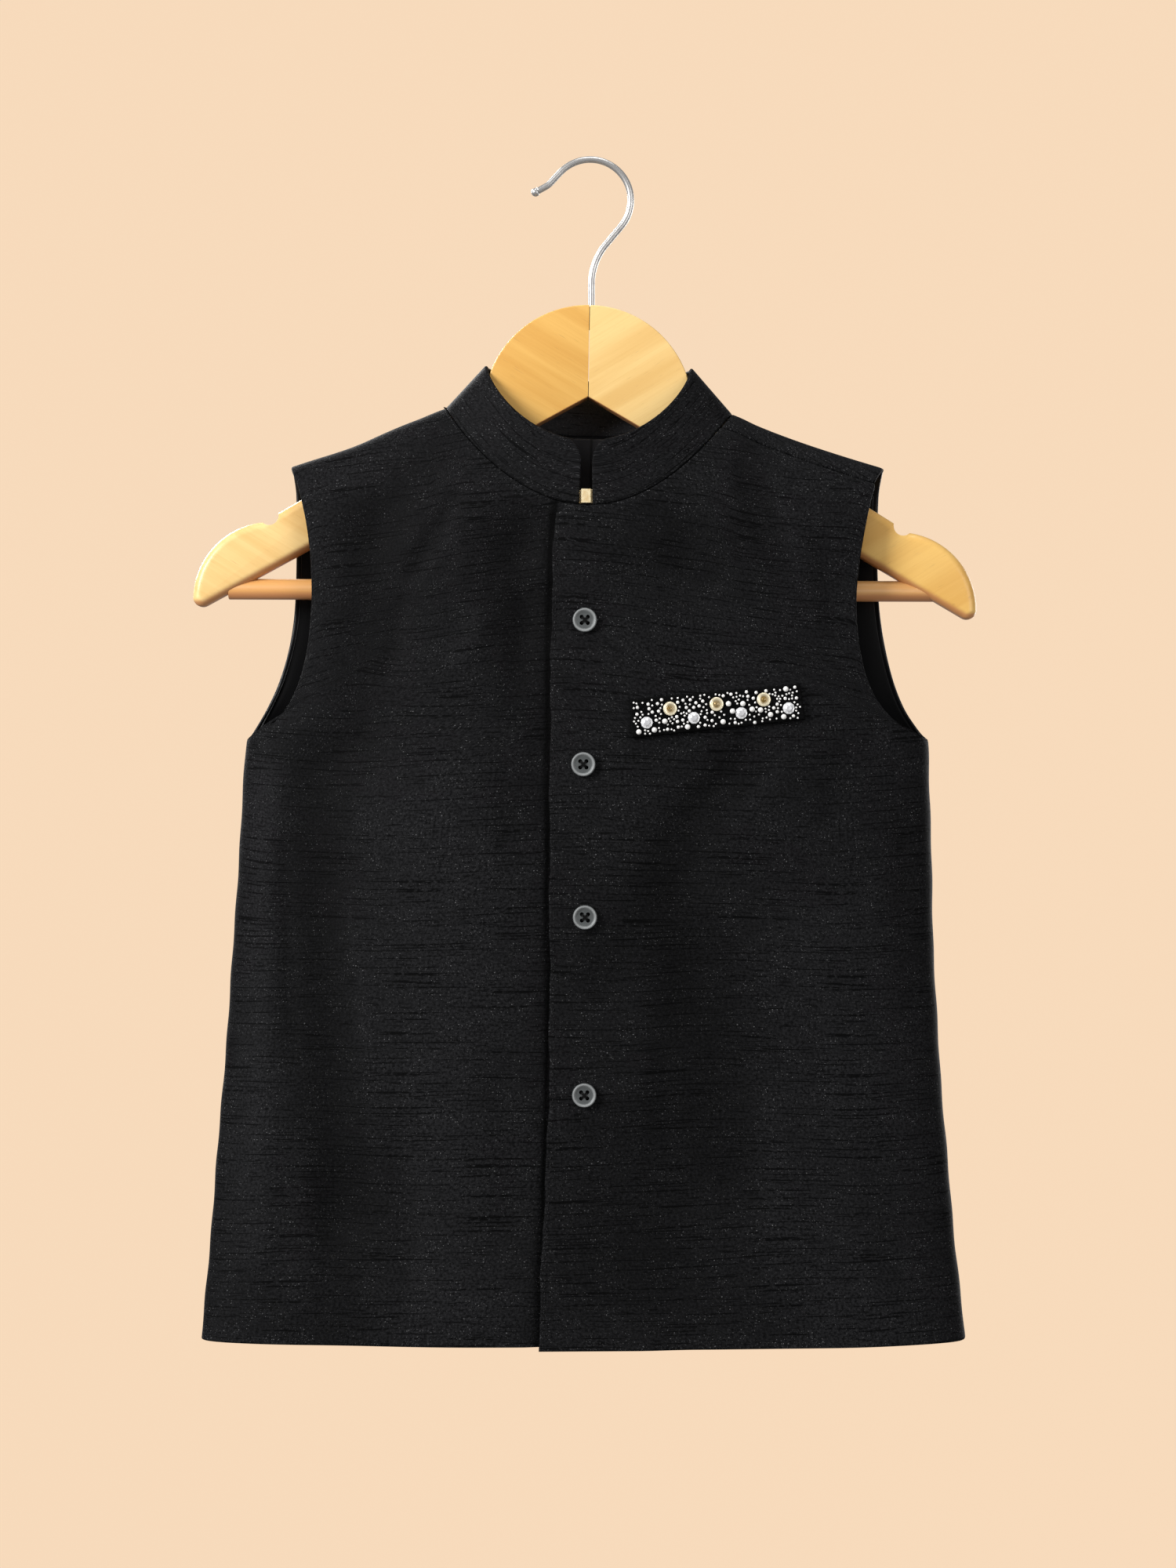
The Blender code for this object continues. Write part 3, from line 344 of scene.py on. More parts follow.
def read(table, key, value, at):
    """The value column of a table at points between its rows, on a smooth curve through them."""
    xs, ys = np.array(sorted((getattr(row, key), getattr(row, value)) for row in table), float).T
    slope = np.empty_like(ys)
    slope[1:-1] = (ys[2:] - ys[:-2]) / (xs[2:] - xs[:-2])
    slope[0] = (ys[1] - ys[0]) / (xs[1] - xs[0])
    slope[-1] = (ys[-1] - ys[-2]) / (xs[-1] - xs[-2])
    at = np.asarray(at, float)
    low = np.clip(np.searchsorted(xs, at, side="right") - 1, 0, len(xs) - 2)
    span = xs[low + 1] - xs[low]
    t = (at - xs[low]) / span
    inside = ys[low] * (1 + 2 * t) * (1 - t) ** 2 + ys[low + 1] * t * t * (3 - 2 * t)
    inside += span * (slope[low] * t * (1 - t) ** 2 - slope[low + 1] * t * t * (1 - t))
    before = ys[0] + slope[0] * (at - xs[0])
    after = ys[-1] + slope[-1] * (at - xs[-1])
    return np.where(at <= xs[0], before, np.where(at >= xs[-1], after, inside))


def ease(t):
    """A smooth step from 0 to 1."""
    t = np.clip(t, 0.0, 1.0)
    return t * t * (3 - 2 * t)


def bell(away):
    """1 in the middle, fading both ways."""
    return np.exp(-away * away)


def waves(table, x, z):
    return sum(wave.rise * np.sin(z * wave.by_z + x * wave.by_x + wave.start) for wave in table)


def crest(x):
    """Height of the shoulder line, which carries on unseen across the neck."""
    return read(SHOULDER_LINE, "x", "z", x)


def half_width(x, z):
    return np.where(x < 0, read(SECTIONS, "z", "half_right", z), read(SECTIONS, "z", "half_left", z))


def fold_rise(front, x, z):
    """How far the folds and creases lift the cloth. front is true where the front panels are."""
    rise = np.zeros(np.shape(x))
    for fold in FOLDS + CREASES:
        top_x, top_z = fold.top_x, fold.top_z
        run_x, run_z = fold.foot_x - top_x, fold.foot_z - top_z
        along = np.clip(((x - top_x) * run_x + (z - top_z) * run_z) / (run_x**2 + run_z**2), 0, 1)
        away = np.hypot(x - top_x - run_x * along, z - top_z - run_z * along) / fold.width
        depth = fold.rise * bell(away)
        if fold in CREASES:
            depth = depth * CREASE_DEPTH * (1 - (2 * along - 1) ** 4)
        rise += np.where(front == (fold.panel == "front"), depth, 0.0)
    return rise


def lap_lift(x):
    """How far the closing front stands off the one beneath, and eases back beyond its edge."""
    return LAP_LIFT * (1 - ease((x - LAP_UNDER_X - LAP_EASE) / LAP_RAMP))


def cloth(m, a, lap=False):
    """Points on the outside of the jacket.

    a runs from one side seam, -1, to the other, +1. m is the square root of the depth below the
    shoulder line, less than 0 at the back and more than 0 at the front. lap is for the front that
    closes over the other.
    """
    m, a = np.broadcast_arrays(np.asarray(m, float), np.asarray(a, float))
    t = np.sin(a * math.pi / 2)
    z = float(crest(0)) - m * m
    for _ in range(8):
        x = t * half_width(t, z)
        z = crest(x) - m * m
    front = m > 0
    deep = np.where(front, read(SECTIONS, "z", "deep_front", z), read(SECTIONS, "z", "deep_back", z))
    side = (1 - np.minimum(1.0, np.abs(t)) ** SIDE_POWER) ** (1 / SIDE_POWER)
    length = np.maximum(1e-6, (deep * side) ** 2 / SHOULDER_RADIUS)
    shoulder = np.sqrt(1 - (1 - np.minimum(1.0, m * m / length)) ** 2)
    out = (deep + fold_rise(front, x, z)) * side * shoulder
    if lap:
        out = out + lap_lift(x)
    return np.stack([x, np.where(front, -out, out), z], axis=-1)


def lap_cloth(m, a):
    return cloth(m, a, lap=True)


def under_cloth(m, a):
    """The front beneath, pressed in along the edge that closes over it."""
    points = cloth(m, a)
    away = (points[..., 0] - read(LAP_EDGE, "z", "x", points[..., 2]) - 1.0) / PRESS_WIDTH
    points[..., 1] += PRESS_DEPTH * bell(away) * ease((PRESS_TOP_Z - points[..., 2]) / PRESS_FADE)
    return points


def spot(panel, x, z):
    """The m and a of places on the front or back that are seen at x and z."""
    m = np.sqrt(np.maximum(0.0, crest(x) - z))
    a = np.arcsin(np.clip(x / half_width(x, z), -1.0, 1.0)) * 2 / math.pi
    return np.stack(np.broadcast_arrays(m if panel == "front" else -m, a), axis=-1)


def front_neck_z(x):
    across = np.maximum(0.0, 1 - ((x - NECK_CENTRE_X) / NECK_HALF) ** 2)
    power = np.where(x < NECK_CENTRE_X, NECK_ROUNDING, 1.0)
    return NECK_POINT_Z + NECK_TILT * x - NECK_DROP_FRONT * across**power


def back_neck_z(x):
    across = np.maximum(0.0, 1 - ((x - NECK_CENTRE_X) / NECK_HALF) ** 2)
    return NECK_POINT_Z + NECK_TILT * x - NECK_DROP_BACK * across**NECK_ROUNDING


def normals(place, u, v, step=0.0004):
    """The ways out of a surface, square to it."""
    along_u = place(u + 10 * step, v) - place(u - 10 * step, v)
    along_v = place(u, v + step) - place(u, v - step)
    way = np.cross(along_u, along_v)
    return way / np.maximum(1e-12, np.linalg.norm(way, axis=-1, keepdims=True))


def line(start, end, count=FINE_STEPS):
    return np.linspace(start, end, count + 1)


# A stretch of a border. Its steps say how much of the border it takes, as on the solids. Its
# places are spread by their distance on the cloth, or evenly where by_length is false.
Leg = namedtuple("Leg", "path steps by_length", defaults=(True,))


def knots(legs):
    """The shares of a border at which its legs meet."""
    ends = np.cumsum([0] + [leg.steps for leg in legs])
    return ends / ends[-1]


def along(place, legs, at):
    """The m and a at these shares of a border."""
    found = np.zeros((len(at), 2))
    ends = knots(legs)
    for leg, low, high in zip(legs, ends, ends[1:]):
        inside = (at >= low - 1e-9) & (at <= high + 1e-9)
        path = np.asarray(leg.path)
        run = np.linspace(0, 1, len(path))
        if leg.by_length:
            points = place(path[:, 0], path[:, 1])
            run = np.concatenate([[0], np.cumsum(np.linalg.norm(np.diff(points, axis=0), axis=1))])
            run /= run[-1]
        for k in range(2):
            found[inside, k] = np.interp((at[inside] - low) / (high - low), run, path[:, k])
    return found


def stations(length, pitch, *borders):
    """Shares along a border, a pitch apart and closer at both ends, with the knots of its legs."""
    near = np.array(EDGE_ROWS) / length
    at = [np.linspace(0, 1, round(length / pitch) + 1), near, 1 - near]
    fixed = np.unique(np.round(np.concatenate([[0, 1], *[knots(legs) for legs in borders]]), 9))
    loose = np.concatenate(at)
    clear = np.min(np.abs(loose[:, None] - fixed[None, :]), axis=1) > 0.05 / length
    return np.unique(np.concatenate([fixed, np.round(loose[clear], 9)]))


def patch(foot, top, low, high, across, up):
    """The places of a panel between its four borders, at these shares across it and up it."""
    foot, top, low, high = (
        np.stack([border[:, 0], np.sin(border[:, 1] * math.pi / 2)], axis=-1)
        for border in (foot, top, low, high)
    )
    u, v = across[None, :, None], up[:, None, None]
    corners = (1 - v) * ((1 - u) * foot[0] + u * foot[-1]) + v * ((1 - u) * top[0] + u * top[-1])
    grid = (1 - v) * foot[None] + v * top[None] + (1 - u) * low[:, None] + u * high[:, None] - corners
    return np.stack([grid[..., 0], np.arcsin(np.clip(grid[..., 1], -1, 1)) * 2 / math.pi], axis=-1)


def grid_faces(rows, columns):
    low = (np.arange(rows - 1)[:, None] * columns + np.arange(columns - 1)[None, :]).ravel()
    return np.stack([low, low + 1, low + columns + 1, low + columns], axis=-1)


def lengths(points):
    """How far each point of a grid is along its row from the middle, and up its column."""
    steps = np.linalg.norm(np.diff(points, axis=1), axis=-1)
    across = np.concatenate([np.zeros((len(points), 1)), np.cumsum(steps, axis=1)], axis=1)
    across -= across[:, [points.shape[1] // 2]]
    steps = np.linalg.norm(np.diff(points, axis=0), axis=-1)
    up = np.concatenate([np.zeros((1, points.shape[1])), np.cumsum(steps, axis=0)], axis=0)
    return np.stack([across, up], axis=-1)


def new_object(name, mesh, *finishes):
    for finish in finishes:
        mesh.materials.append(finish)
    made = bpy.data.objects.new(name, mesh)
    bpy.context.scene.collection.objects.link(made)
    return made


def mesh_of(name, points, faces, flat_faces=()):
    """A smooth closed mesh in metres from points in millimetres, its faces turned outwards."""
    mesh = bpy.data.meshes.new(name)
    faces = [tuple(int(i) for i in face) for face in faces]
    mesh.from_pydata((np.asarray(points, float) * MM).tolist(), [], faces)
    work = bmesh.new()
    work.from_mesh(mesh)
    bmesh.ops.recalc_face_normals(work, faces=work.faces)
    work.to_mesh(mesh)
    work.free()
    mesh.shade_smooth()
    for index in flat_faces:
        mesh.polygons[index].use_smooth = False
    return mesh


def mark(mesh, name, values):
    """Gives each point a value that its finish reads.

    rim is how near it is to an edge, 1 on it: the cloth's wear and painted highlight, a button's painted
    highlight, and a sequin's pale rim about its painted dark reflection. hollow is painted light and
    shade: less than 0 for painted shade in a fold's trough, beside the lap and at seams, more than 0
    for painted light on a crest and on the lining by the neck. under is how far the point faces down,
    for the wood's painted shade.
    """
    marks = mesh.attributes.new(name, "FLOAT", "POINT")
    marks.data.foreach_set("value", np.asarray(values, dtype=np.float32))


def border_of(faces):
    """The edges that only one face has."""
    edges = np.concatenate([faces[:, [k, (k + 1) % 4]] for k in range(4)])
    keys = np.sort(edges, axis=1)
    _, first, count = np.unique(keys, axis=0, return_index=True, return_counts=True)
    return edges[first[count == 1]]


def shell(
    name, place, places, faces, uv, thick, finishes, out=0.0, ripple=None, hollow=0.0, tuck=0.0
):
    """A thin closed shell of cloth with rounded edges. Its second finish is the inside's."""
    u, v = places[:, 0], places[:, 1]
    way = normals(place, u, v)
    base = place(u, v)
    base[:, 1] += tuck
    rim = np.unique(border_of(faces))
    tree = KDTree(len(rim))
    for i, vertex in enumerate(rim):
        tree.insert(base[vertex], i)
    tree.balance()
    away = np.array([tree.find(point)[2] for point in base])
    if ripple is not None:
        base = base + way * ripple(base, away)[:, None]
    lost = thick / 2 * (1 - np.sqrt(1 - (1 - np.minimum(1.0, away / (thick / 2))) ** 2))
    outer = base + way * (out - lost)[:, None]
    inner = base + way * (out - thick + lost)[:, None]
    count = len(base)
    under = np.arange(count) + count
    under[rim] = rim
    points = np.concatenate([outer, inner])
    every = np.concatenate([faces[:, ::-1], under[faces]])
    used, back = np.unique(every, return_inverse=True)
    mesh = mesh_of(name, points[used], back.reshape(every.shape))
    layer = mesh.uv_layers.new(name="cloth")
    corner = np.empty(len(mesh.loops), dtype=np.int32)
    mesh.loops.foreach_get("vertex_index", corner)
    both = np.concatenate([uv, uv])[used] * MM
    layer.data.foreach_set("uv", both[corner].astype(np.float32).ravel())
    inside = np.zeros(len(mesh.polygons), dtype=np.int32)
    if len(finishes) > 1:
        inside[len(faces):] = 1
    mesh.polygons.foreach_set("material_index", inside)
    mark(mesh, "rim", np.exp(-np.concatenate([away, away])[used] / RIM_REACH))
    mark(mesh, "hollow", np.tile(np.broadcast_to(hollow, count), 2)[used])
    return new_object(name, mesh, *finishes)


# Borders of the panels


def seam_a(side):
    """The side seam's a, half a gap short of the fold."""
    gap = (SEAM_GAP / 2 / SECTIONS[4].deep_back) ** SIDE_POWER
    return side * (1 - math.sqrt(8 * gap / SIDE_POWER) / math.pi)


def seam_m():
    """Half a seam's gap, in m, at the shoulder line."""
    return SEAM_GAP / 2 / math.sqrt(2 * SHOULDER_RADIUS)


def side_legs(panel, side, steps, tip_m):
    """Up the side seam and round the armhole to the shoulder tip."""
    side_name = "right" if side < 0 else "left"
    edge = seam_a(side)
    foot_m = spot(panel, edge * half_width(side, HEM_Z), HEM_Z)[0]
    under_m = spot(panel, edge * half_width(side, UNDERARM_Z), UNDERARM_Z)[0]
    tip_x = side * read(ARMHOLES, "z", f"{panel}_{side_name}", ARMHOLES[0].z)
    top_z = crest(tip_x) - tip_m * abs(tip_m)
    z = UNDERARM_Z + (top_z - UNDERARM_Z) * (1 - (1 - np.linspace(0, 1, FINE_STEPS + 1)) ** 2)
    rising = spot(panel, side * read(ARMHOLES, "z", f"{panel}_{side_name}", z), z)
    rising[0] = (under_m, edge)
    rising[-1, 0] = tip_m
    # The solids turn over the shoulder from the first of their own fewer places that is this near
    shares = np.linspace(0, 1, FINE_STEPS // 2 + 1)
    coarse = np.interp(shares, np.linspace(0, 1, FINE_STEPS + 1), rising[:, 0])
    rounding = 2 * int(np.argmax(np.abs(coarse) < ROUNDED_M))
    return [
        Leg(line((foot_m, edge), (under_m, edge)), steps[0]),
        Leg(rising[: rounding + 1], steps[1]),
        Leg(rising[rounding:], steps[2]),
    ]


def neck_x(turn):
    """A place across the neckline from its turn about the neck, 0 at the wearer's left point."""
    return NECK_CENTRE_X + NECK_HALF * np.cos(turn)


def neck_turn_at(depth):
    """The turn at which the left front's neckline lies this far below the shoulder line."""
    low, high = 0.0, math.pi / 2
    for _ in range(40):
        turn = (low + high) / 2
        if crest(neck_x(turn)) - front_neck_z(neck_x(turn)) < depth:
            low = turn
        else:
            high = turn
    return -low


def neck_path(panel, start, end):
    x = neck_x(np.linspace(start, end, FINE_STEPS + 1))
    return spot(panel, x, front_neck_z(x) if panel == "front" else back_neck_z(x))


def shoulder_path(panel, side, m, start_x):
    """Along the shoulder seam from the neck to the armhole."""
    side_name = "right" if side < 0 else "left"
    tip_z = float(crest(side * ARMHOLES[0].back_right) - m * m)
    tip_x = side * read(ARMHOLES, "z", f"{panel}_{side_name}", min(tip_z, ARMHOLES[0].z))
    x = np.linspace(start_x, tip_x, FINE_STEPS + 1)
    way = spot(panel, x, crest(x) - m * m)
    way[:, 0] = m
    return way


def hem(panel, start_x, end_x, foot_z, at, end_z=None):
    """Places along the hem, closer together towards the side seams."""
    end_z = foot_z if end_z is None else end_z
    start, end = (math.asin(max(-1, min(1, x / float(half_width(x, foot_z))))) for x in (start_x, end_x))
    t = np.sin(start + (end - start) * at)
    return spot(panel, t * half_width(t, foot_z), foot_z + (end_z - foot_z) * at)


def ends_pinned(border, first, last):
    border[0], border[-1] = first, last
    return border


def panel_shell(name, place, low_legs, high_legs, top_legs, foot_at, size, pitch, finishes, extra=None):
    """A main panel from its borders. size is its rough width and height."""
    across = stations(size[0], pitch, top_legs)
    up = stations(size[1], pitch, low_legs, high_legs)
    low, high = along(place, low_legs, up), along(place, high_legs, up)
    top, foot = along(place, top_legs, across), foot_at(across)
    ends_pinned(foot, low[0], high[0])
    ends_pinned(top, low[-1], high[-1])
    grid = patch(foot, top, low, high, across, up)
    points = place(grid[..., 0], grid[..., 1])
    uv = lengths(points)
    faces = grid_faces(len(up), len(across))
    places, uv_list = grid.reshape(-1, 2), uv.reshape(-1, 2)
    if extra:
        places, uv_list, faces = extra(across, grid, uv, places, uv_list, faces)
    points = place(places[:, 0], places[:, 1])
    # Painted shade in the folds' troughs and painted light on their crests
    hollow = np.tanh(fold_rise(places[:, 0] > 0, points[:, 0], points[:, 2]) / FOLD_SHADE_DEPTH)
    # A painted shadow on the under front, just beside the lapped edge
    if place is under_cloth:
        beside = points[:, 0] - read(LAP_EDGE, "z", "x", points[:, 2]) + LAP_SHADE_AWAY
        hollow = hollow - LAP_SHADE * bell(beside / LAP_SHADE_WIDTH)
    tuck = SIDE_TUCK * np.sign(places[:, 0]) * (np.abs(places[:, 1]) > seam_a(1) - 1e-7)
    return shell(
        name, place, places, faces, uv_list, CLOTH_THICK, finishes, 0.0, edge_ripple, hollow, tuck
    )


def edge_ripple(base, away):
    """Small uneven waves along the cut edges, as cloth has where a seam is turned in."""
    fade = np.exp(-away / EDGE_WAVES_REACH) * ease(away / EDGE_WAVES_CLEAR)
    return waves(EDGE_WAVES, base[:, 0], base[:, 2]) * fade


def build_back(finishes):
    """The back, cut in one, with its left shoulder carried forward over the fold."""
    gap = seam_m()
    low = side_legs("back", -1, (9, 8, 4), -gap)
    high = side_legs("back", 1, (9, 8, 4), 0.0)
    neck_low, neck_high = neck_x(math.pi), neck_x(0.0)
    neck = neck_path("back", math.pi, 0.0)
    neck[-1] = (0.0, spot("back", neck_high, crest(neck_high))[1])
    top = [
        Leg(shoulder_path("back", -1, -gap, neck_low)[::-1], 9),
        Leg(neck, 16, False),
        Leg(shoulder_path("back", 1, 0.0, neck_high), 9),
    ]
    seam = math.sqrt(FORWARD_SEAM) - gap

    def forward(across, grid, uv, places, uv_list, faces):
        """The strip that goes over the left shoulder to the forward seam."""
        start = knots(top)[2]
        columns = np.nonzero(across >= start - 1e-9)[0]
        share = (across[columns] - start) / (1 - start)
        below = (grid.shape[0] - 1) * grid.shape[1] + columns
        last, last_uv = cloth(grid[-1, columns, 0], grid[-1, columns, 1]), uv[-1, columns]
        for step in (0.04, 0.12, 0.3, 0.5, 0.7, 0.86, 0.96, 1.0):
            m = seam * step
            path = shoulder_path("front", 1, m, neck_x(neck_turn_at(m * m)))
            way = along(cloth, [Leg(path, 1)], share)
            points = cloth(way[:, 0], way[:, 1])
            last_uv = last_uv + np.stack([np.zeros(len(way)), np.linalg.norm(points - last, axis=1)], axis=-1)
            here = len(places) + np.arange(len(way))
            places = np.concatenate([places, way])
            uv_list = np.concatenate([uv_list, last_uv])
            quads = np.stack([below[:-1], below[1:], here[1:], here[:-1]], axis=-1)
            faces = np.concatenate([faces, quads])
            below, last = here, points
        return places, uv_list, faces

    def foot(at):
        return hem("back", -half_width(-1, HEM_Z), half_width(1, HEM_Z), HEM_Z, at)

    return panel_shell("back_cloth", cloth, low, high, top, foot, (360, 420), 2.2, finishes, forward)


def build_front_right(finishes):
    """The under front, on the wearer's right."""
    left_end = 2 * math.pi - math.acos((COLLAR_END_RIGHT_X - NECK_CENTRE_X) / NECK_HALF)
    neck = neck_path("front", math.pi, left_end)
    neck[0] = (seam_m(), neck[0][1])
    dip = spot("front", LAP_UNDER_X, front_neck_z(LAP_UNDER_X) - LAP_UNDER_DIP)
    middle = spot("front", LAP_UNDER_X, UNDERARM_Z)
    low = side_legs("front", -1, (9, 9, 4), seam_m())
    foot_end = spot("front", LAP_UNDER_X, HEM_Z)
    high = [Leg(line(foot_end, middle), 9), Leg(line(middle, dip), 13)]
    top = [
        Leg(shoulder_path("front", -1, seam_m(), neck_x(math.pi))[::-1], 7),
        Leg(neck, 10, False),
        Leg(line(neck[-1], dip), 2),
    ]

    def foot(at):
        return hem("front", -half_width(-1, HEM_Z), LAP_UNDER_X, HEM_Z, at)

    return panel_shell("front_right_cloth", under_cloth, low, high, top, foot, (210, 420), 1.8, finishes)


def lap_edge(low_z, high_z):
    """Up the free edge of the front that closes over the other, which waves a little."""
    z = np.linspace(low_z, high_z, FINE_STEPS + 1)
    ends = ease((z - LAP_HEM_Z) / LAP_WAVES_FADE) * ease((LAP_EDGE[0].z - z) / LAP_WAVES_FADE)
    return spot("front", read(LAP_EDGE, "z", "x", z) + waves(LAP_WAVES, 0.0, z) * ends, z)


def build_front_left(finishes):
    """The front that closes over the other, on the wearer's left."""
    seam = math.sqrt(FORWARD_SEAM) + seam_m()
    turn = neck_turn_at(seam**2)
    neck_end_x = neck_x(turn)
    neck = neck_path("front", -math.acos((COLLAR_END_LEFT_X - NECK_CENTRE_X) / NECK_HALF), turn)
    neck[-1] = spot("front", neck_end_x, crest(neck_end_x) - seam**2)
    corner = spot("front", LAP_EDGE[0].x, LAP_EDGE[0].z)
    collar_end = spot("front", COLLAR_END_LEFT_X, front_neck_z(COLLAR_END_LEFT_X))
    low = [Leg(lap_edge(LAP_HEM_Z, UNDERARM_Z), 9), Leg(lap_edge(UNDERARM_Z, LAP_EDGE[0].z), 13)]
    high = side_legs("front", 1, (9, 9, 4), seam)
    top = [
        Leg(line(corner, collar_end), 3),
        Leg(neck, 9, False),
        Leg(shoulder_path("front", 1, seam, neck_end_x), 7),
    ]

    def foot(at):
        return hem("front", LAP_EDGE[-1].x, half_width(1, HEM_Z), LAP_HEM_Z, at, HEM_Z)

    return panel_shell("front_left_cloth", lap_cloth, low, high, top, foot, (210, 420), 1.8, finishes)


def drawn_up(base, away):
    """The lining's edges, drawn up to the cloth that they are sewn to."""
    return LINING_RISE * np.exp(-away / LINING_DRAWN_REACH)


def build_lining(finishes):
    """The back's lining, seen through the neck and the armholes."""
    across, up = stations(330, 3.0), stations(400, 3.0)
    sides, ends = {}, {}
    for side in (-1, 1):
        z = np.linspace(LINING_FOOT_Z, LINING_TOP_Z, FINE_STEPS + 1)
        reach = half_width(side, z) * LINING_SIDE_SHARE
        armhole = read(ARMHOLES, "z", "back_right" if side < 0 else "back_left", z) - LINING_INSET
        reach = np.where(z > UNDERARM_Z, np.minimum(reach, armhole), reach)
        legs = [Leg(spot("back", side * reach, z), 1)]
        sides[side] = along(cloth, legs, up)
        ends[side] = cloth(*sides[side][-1])[0], cloth(*sides[side][0])[0]
    x = np.linspace(ends[-1][0], ends[1][0], FINE_STEPS + 1)
    path = spot("back", x, np.minimum(crest(x) - LINING_TOP_DEPTH, back_neck_z(x) - 1.0))
    top = along(cloth, [Leg(path, 1)], across)
    foot = hem("back", ends[-1][1], ends[1][1], LINING_FOOT_Z, across)
    ends_pinned(foot, sides[-1][0], sides[1][0])
    ends_pinned(top, sides[-1][-1], sides[1][-1])
    grid = patch(foot, top, sides[-1], sides[1], across, up)
    uv = lengths(cloth(grid[..., 0], grid[..., 1])).reshape(-1, 2)
    faces = grid_faces(len(up), len(across))
    places = grid.reshape(-1, 2)
    points = cloth(places[:, 0], places[:, 1])
    # Painted light on the lining near the neck, where it lies in shade, and painted shade elsewhere
    away = np.hypot(points[:, 0], points[:, 2] - LINING_NECK_Z) / LINING_NECK_REACH
    hollow = LINING_NECK_LIGHT * bell(away) - LINING_SHADE
    name, thick = "back_lining_cloth", LINING_THICK
    return shell(name, cloth, places, faces, uv, thick, finishes, -LINING_IN, drawn_up, hollow)


# Collar and trimmings


def collar_base(turn):
    """Points of the neckline. turn is the angle about the neck's centre, 0 at the wearer's left."""
    x = neck_x(turn)
    front = np.sin(turn) < 0
    ahead, behind = spot("front", x, front_neck_z(x)), spot("back", x, back_neck_z(x))
    lapped = np.where((x > NECK_CENTRE_X)[..., None], lap_cloth(*ahead.T), cloth(*ahead.T))
    return np.where(front[..., None], lapped, cloth(*behind.T))


def collar_top(turn):
    """Points of the stand collar's upper edge."""
    x = NECK_CENTRE_X + COLLAR_TOP_HALF * np.cos(turn)
    away, front = np.abs(np.sin(turn)), np.sin(turn) < 0
    drop = np.where(front, COLLAR_TOP_DROP_FRONT, COLLAR_TOP_DROP_BACK)
    reach = np.where(front, -COLLAR_TOP_FRONT_Y, COLLAR_TOP_BACK_Y)
    lift = np.where(front & (x > NECK_CENTRE_X), lap_lift(x), 0.0)
    z = COLLAR_TOP_Z + NECK_TILT * x * COLLAR_TOP_TILT - drop * away**COLLAR_TOP_DIP
    return np.stack([x, reach * away**COLLAR_TOP_ROUNDING - lift, z], axis=-1)


def collar_place(turn, height):
    """Points of the collar: height 0 is just above the neck seam, 1 is the upper edge."""
    foot, head = collar_base(turn), collar_top(turn)
    behind = ease(0.5 + 4 * np.sin(turn))
    start = (COLLAR_SEAM + (COLLAR_SEAM_BACK - COLLAR_SEAM) * behind) / np.linalg.norm(head - foot, axis=-1)
    share = (start + (1 - start) * height)[..., None]
    return foot * (1 - share) + head * share


def collar_span():
    start = -math.acos((COLLAR_END_LEFT_X - NECK_CENTRE_X) / NECK_HALF)
    end = 2 * math.pi - math.acos((COLLAR_END_RIGHT_X - NECK_CENTRE_X) / NECK_HALF)
    return start, end


def collar_tall(turn):
    """How much of its full height the collar has at this turn, less at its rounded corners."""
    start, end = collar_span()
    near = COLLAR_CORNER / NECK_HALF
    away = np.minimum(1.0, np.minimum(turn - start, end - turn) / near)
    return 1 - (1 - np.sqrt(np.maximum(0.0, 1 - (1 - away) ** 2))) * COLLAR_CORNER / COLLAR_HEIGHT


def build_collar(finishes):
    """The stand collar, one band from end to end, with its front corners rounded."""
    start, end = collar_span()
    corner = COLLAR_CORNER / NECK_HALF * (1 - np.cos(np.linspace(0, math.pi / 2, 10)[1:]))
    turns = [np.linspace(start, end, 250), start + corner, end - corner]
    turns += [start + np.array([0.002, 0.006, 0.012]), end - np.array([0.002, 0.006, 0.012])]
    turns = np.unique(np.round(np.concatenate(turns), 6))
    turns = turns[np.concatenate([[True], np.diff(turns) > 0.0012])]
    turns[-1] = end
    up = stations(COLLAR_HEIGHT, 1.2)
    turn = np.broadcast_to(turns, (len(up), len(turns)))
    height = up[:, None] * collar_tall(turns)[None, :]
    places = np.stack([turn, height], axis=-1).reshape(-1, 2)
    points = collar_place(places[:, 0], places[:, 1]).reshape(len(up), len(turns), 3)
    uv = lengths(points).reshape(-1, 2)
    faces = grid_faces(len(up), len(turns))
    # Painted shade along the neck seam, at the foot of the collar
    hollow = -SEAM_SHADE * np.exp(-places[:, 1] * COLLAR_HEIGHT / SEAM_SHADE_WIDTH)
    name, thick = "collar_cloth", COLLAR_THICK
    return shell(name, collar_place, places, faces, uv, thick, finishes, hollow=hollow)


def welt_place(u, v):
    """Points of the pocket mouth on the front: u runs along it, v up it."""
    def mix(one, two, share):
        return [a + (b - a) * share for a, b in zip(one, two)]

    foot = mix(WELT_CORNERS["foot_inner"], WELT_CORNERS["foot_outer"], u)
    head = mix(WELT_CORNERS["top_inner"], WELT_CORNERS["top_outer"], u)
    x, z = mix(foot, head, v)
    return lap_cloth(*np.moveaxis(spot("front", x, z), -1, 0))


def build_welt(finishes):
    across, up = stations(WELT_LENGTH, 1.0), stations(WELT_HEIGHT, 1.0)
    grid = np.stack(np.meshgrid(across, up), axis=-1)
    uv = lengths(welt_place(grid[..., 0], grid[..., 1])).reshape(-1, 2)
    faces = grid_faces(len(up), len(across))
    places = grid.reshape(-1, 2)
    # The whole pocket mouth is drawn much darker than the rest of the cloth, nearly black
    name, hollow = "pocket_welt_cloth", -SEAM_SHADE
    return shell(
        name, welt_place, places, faces, uv, WELT_THICK, finishes, WELT_OUT, hollow=hollow
    )


# Small parts


def ride(piece, node=None):
    """Fixes a piece to the body, in place of a solid where it stands for one."""
    if node:
        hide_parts(node)
    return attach(piece, BODY)


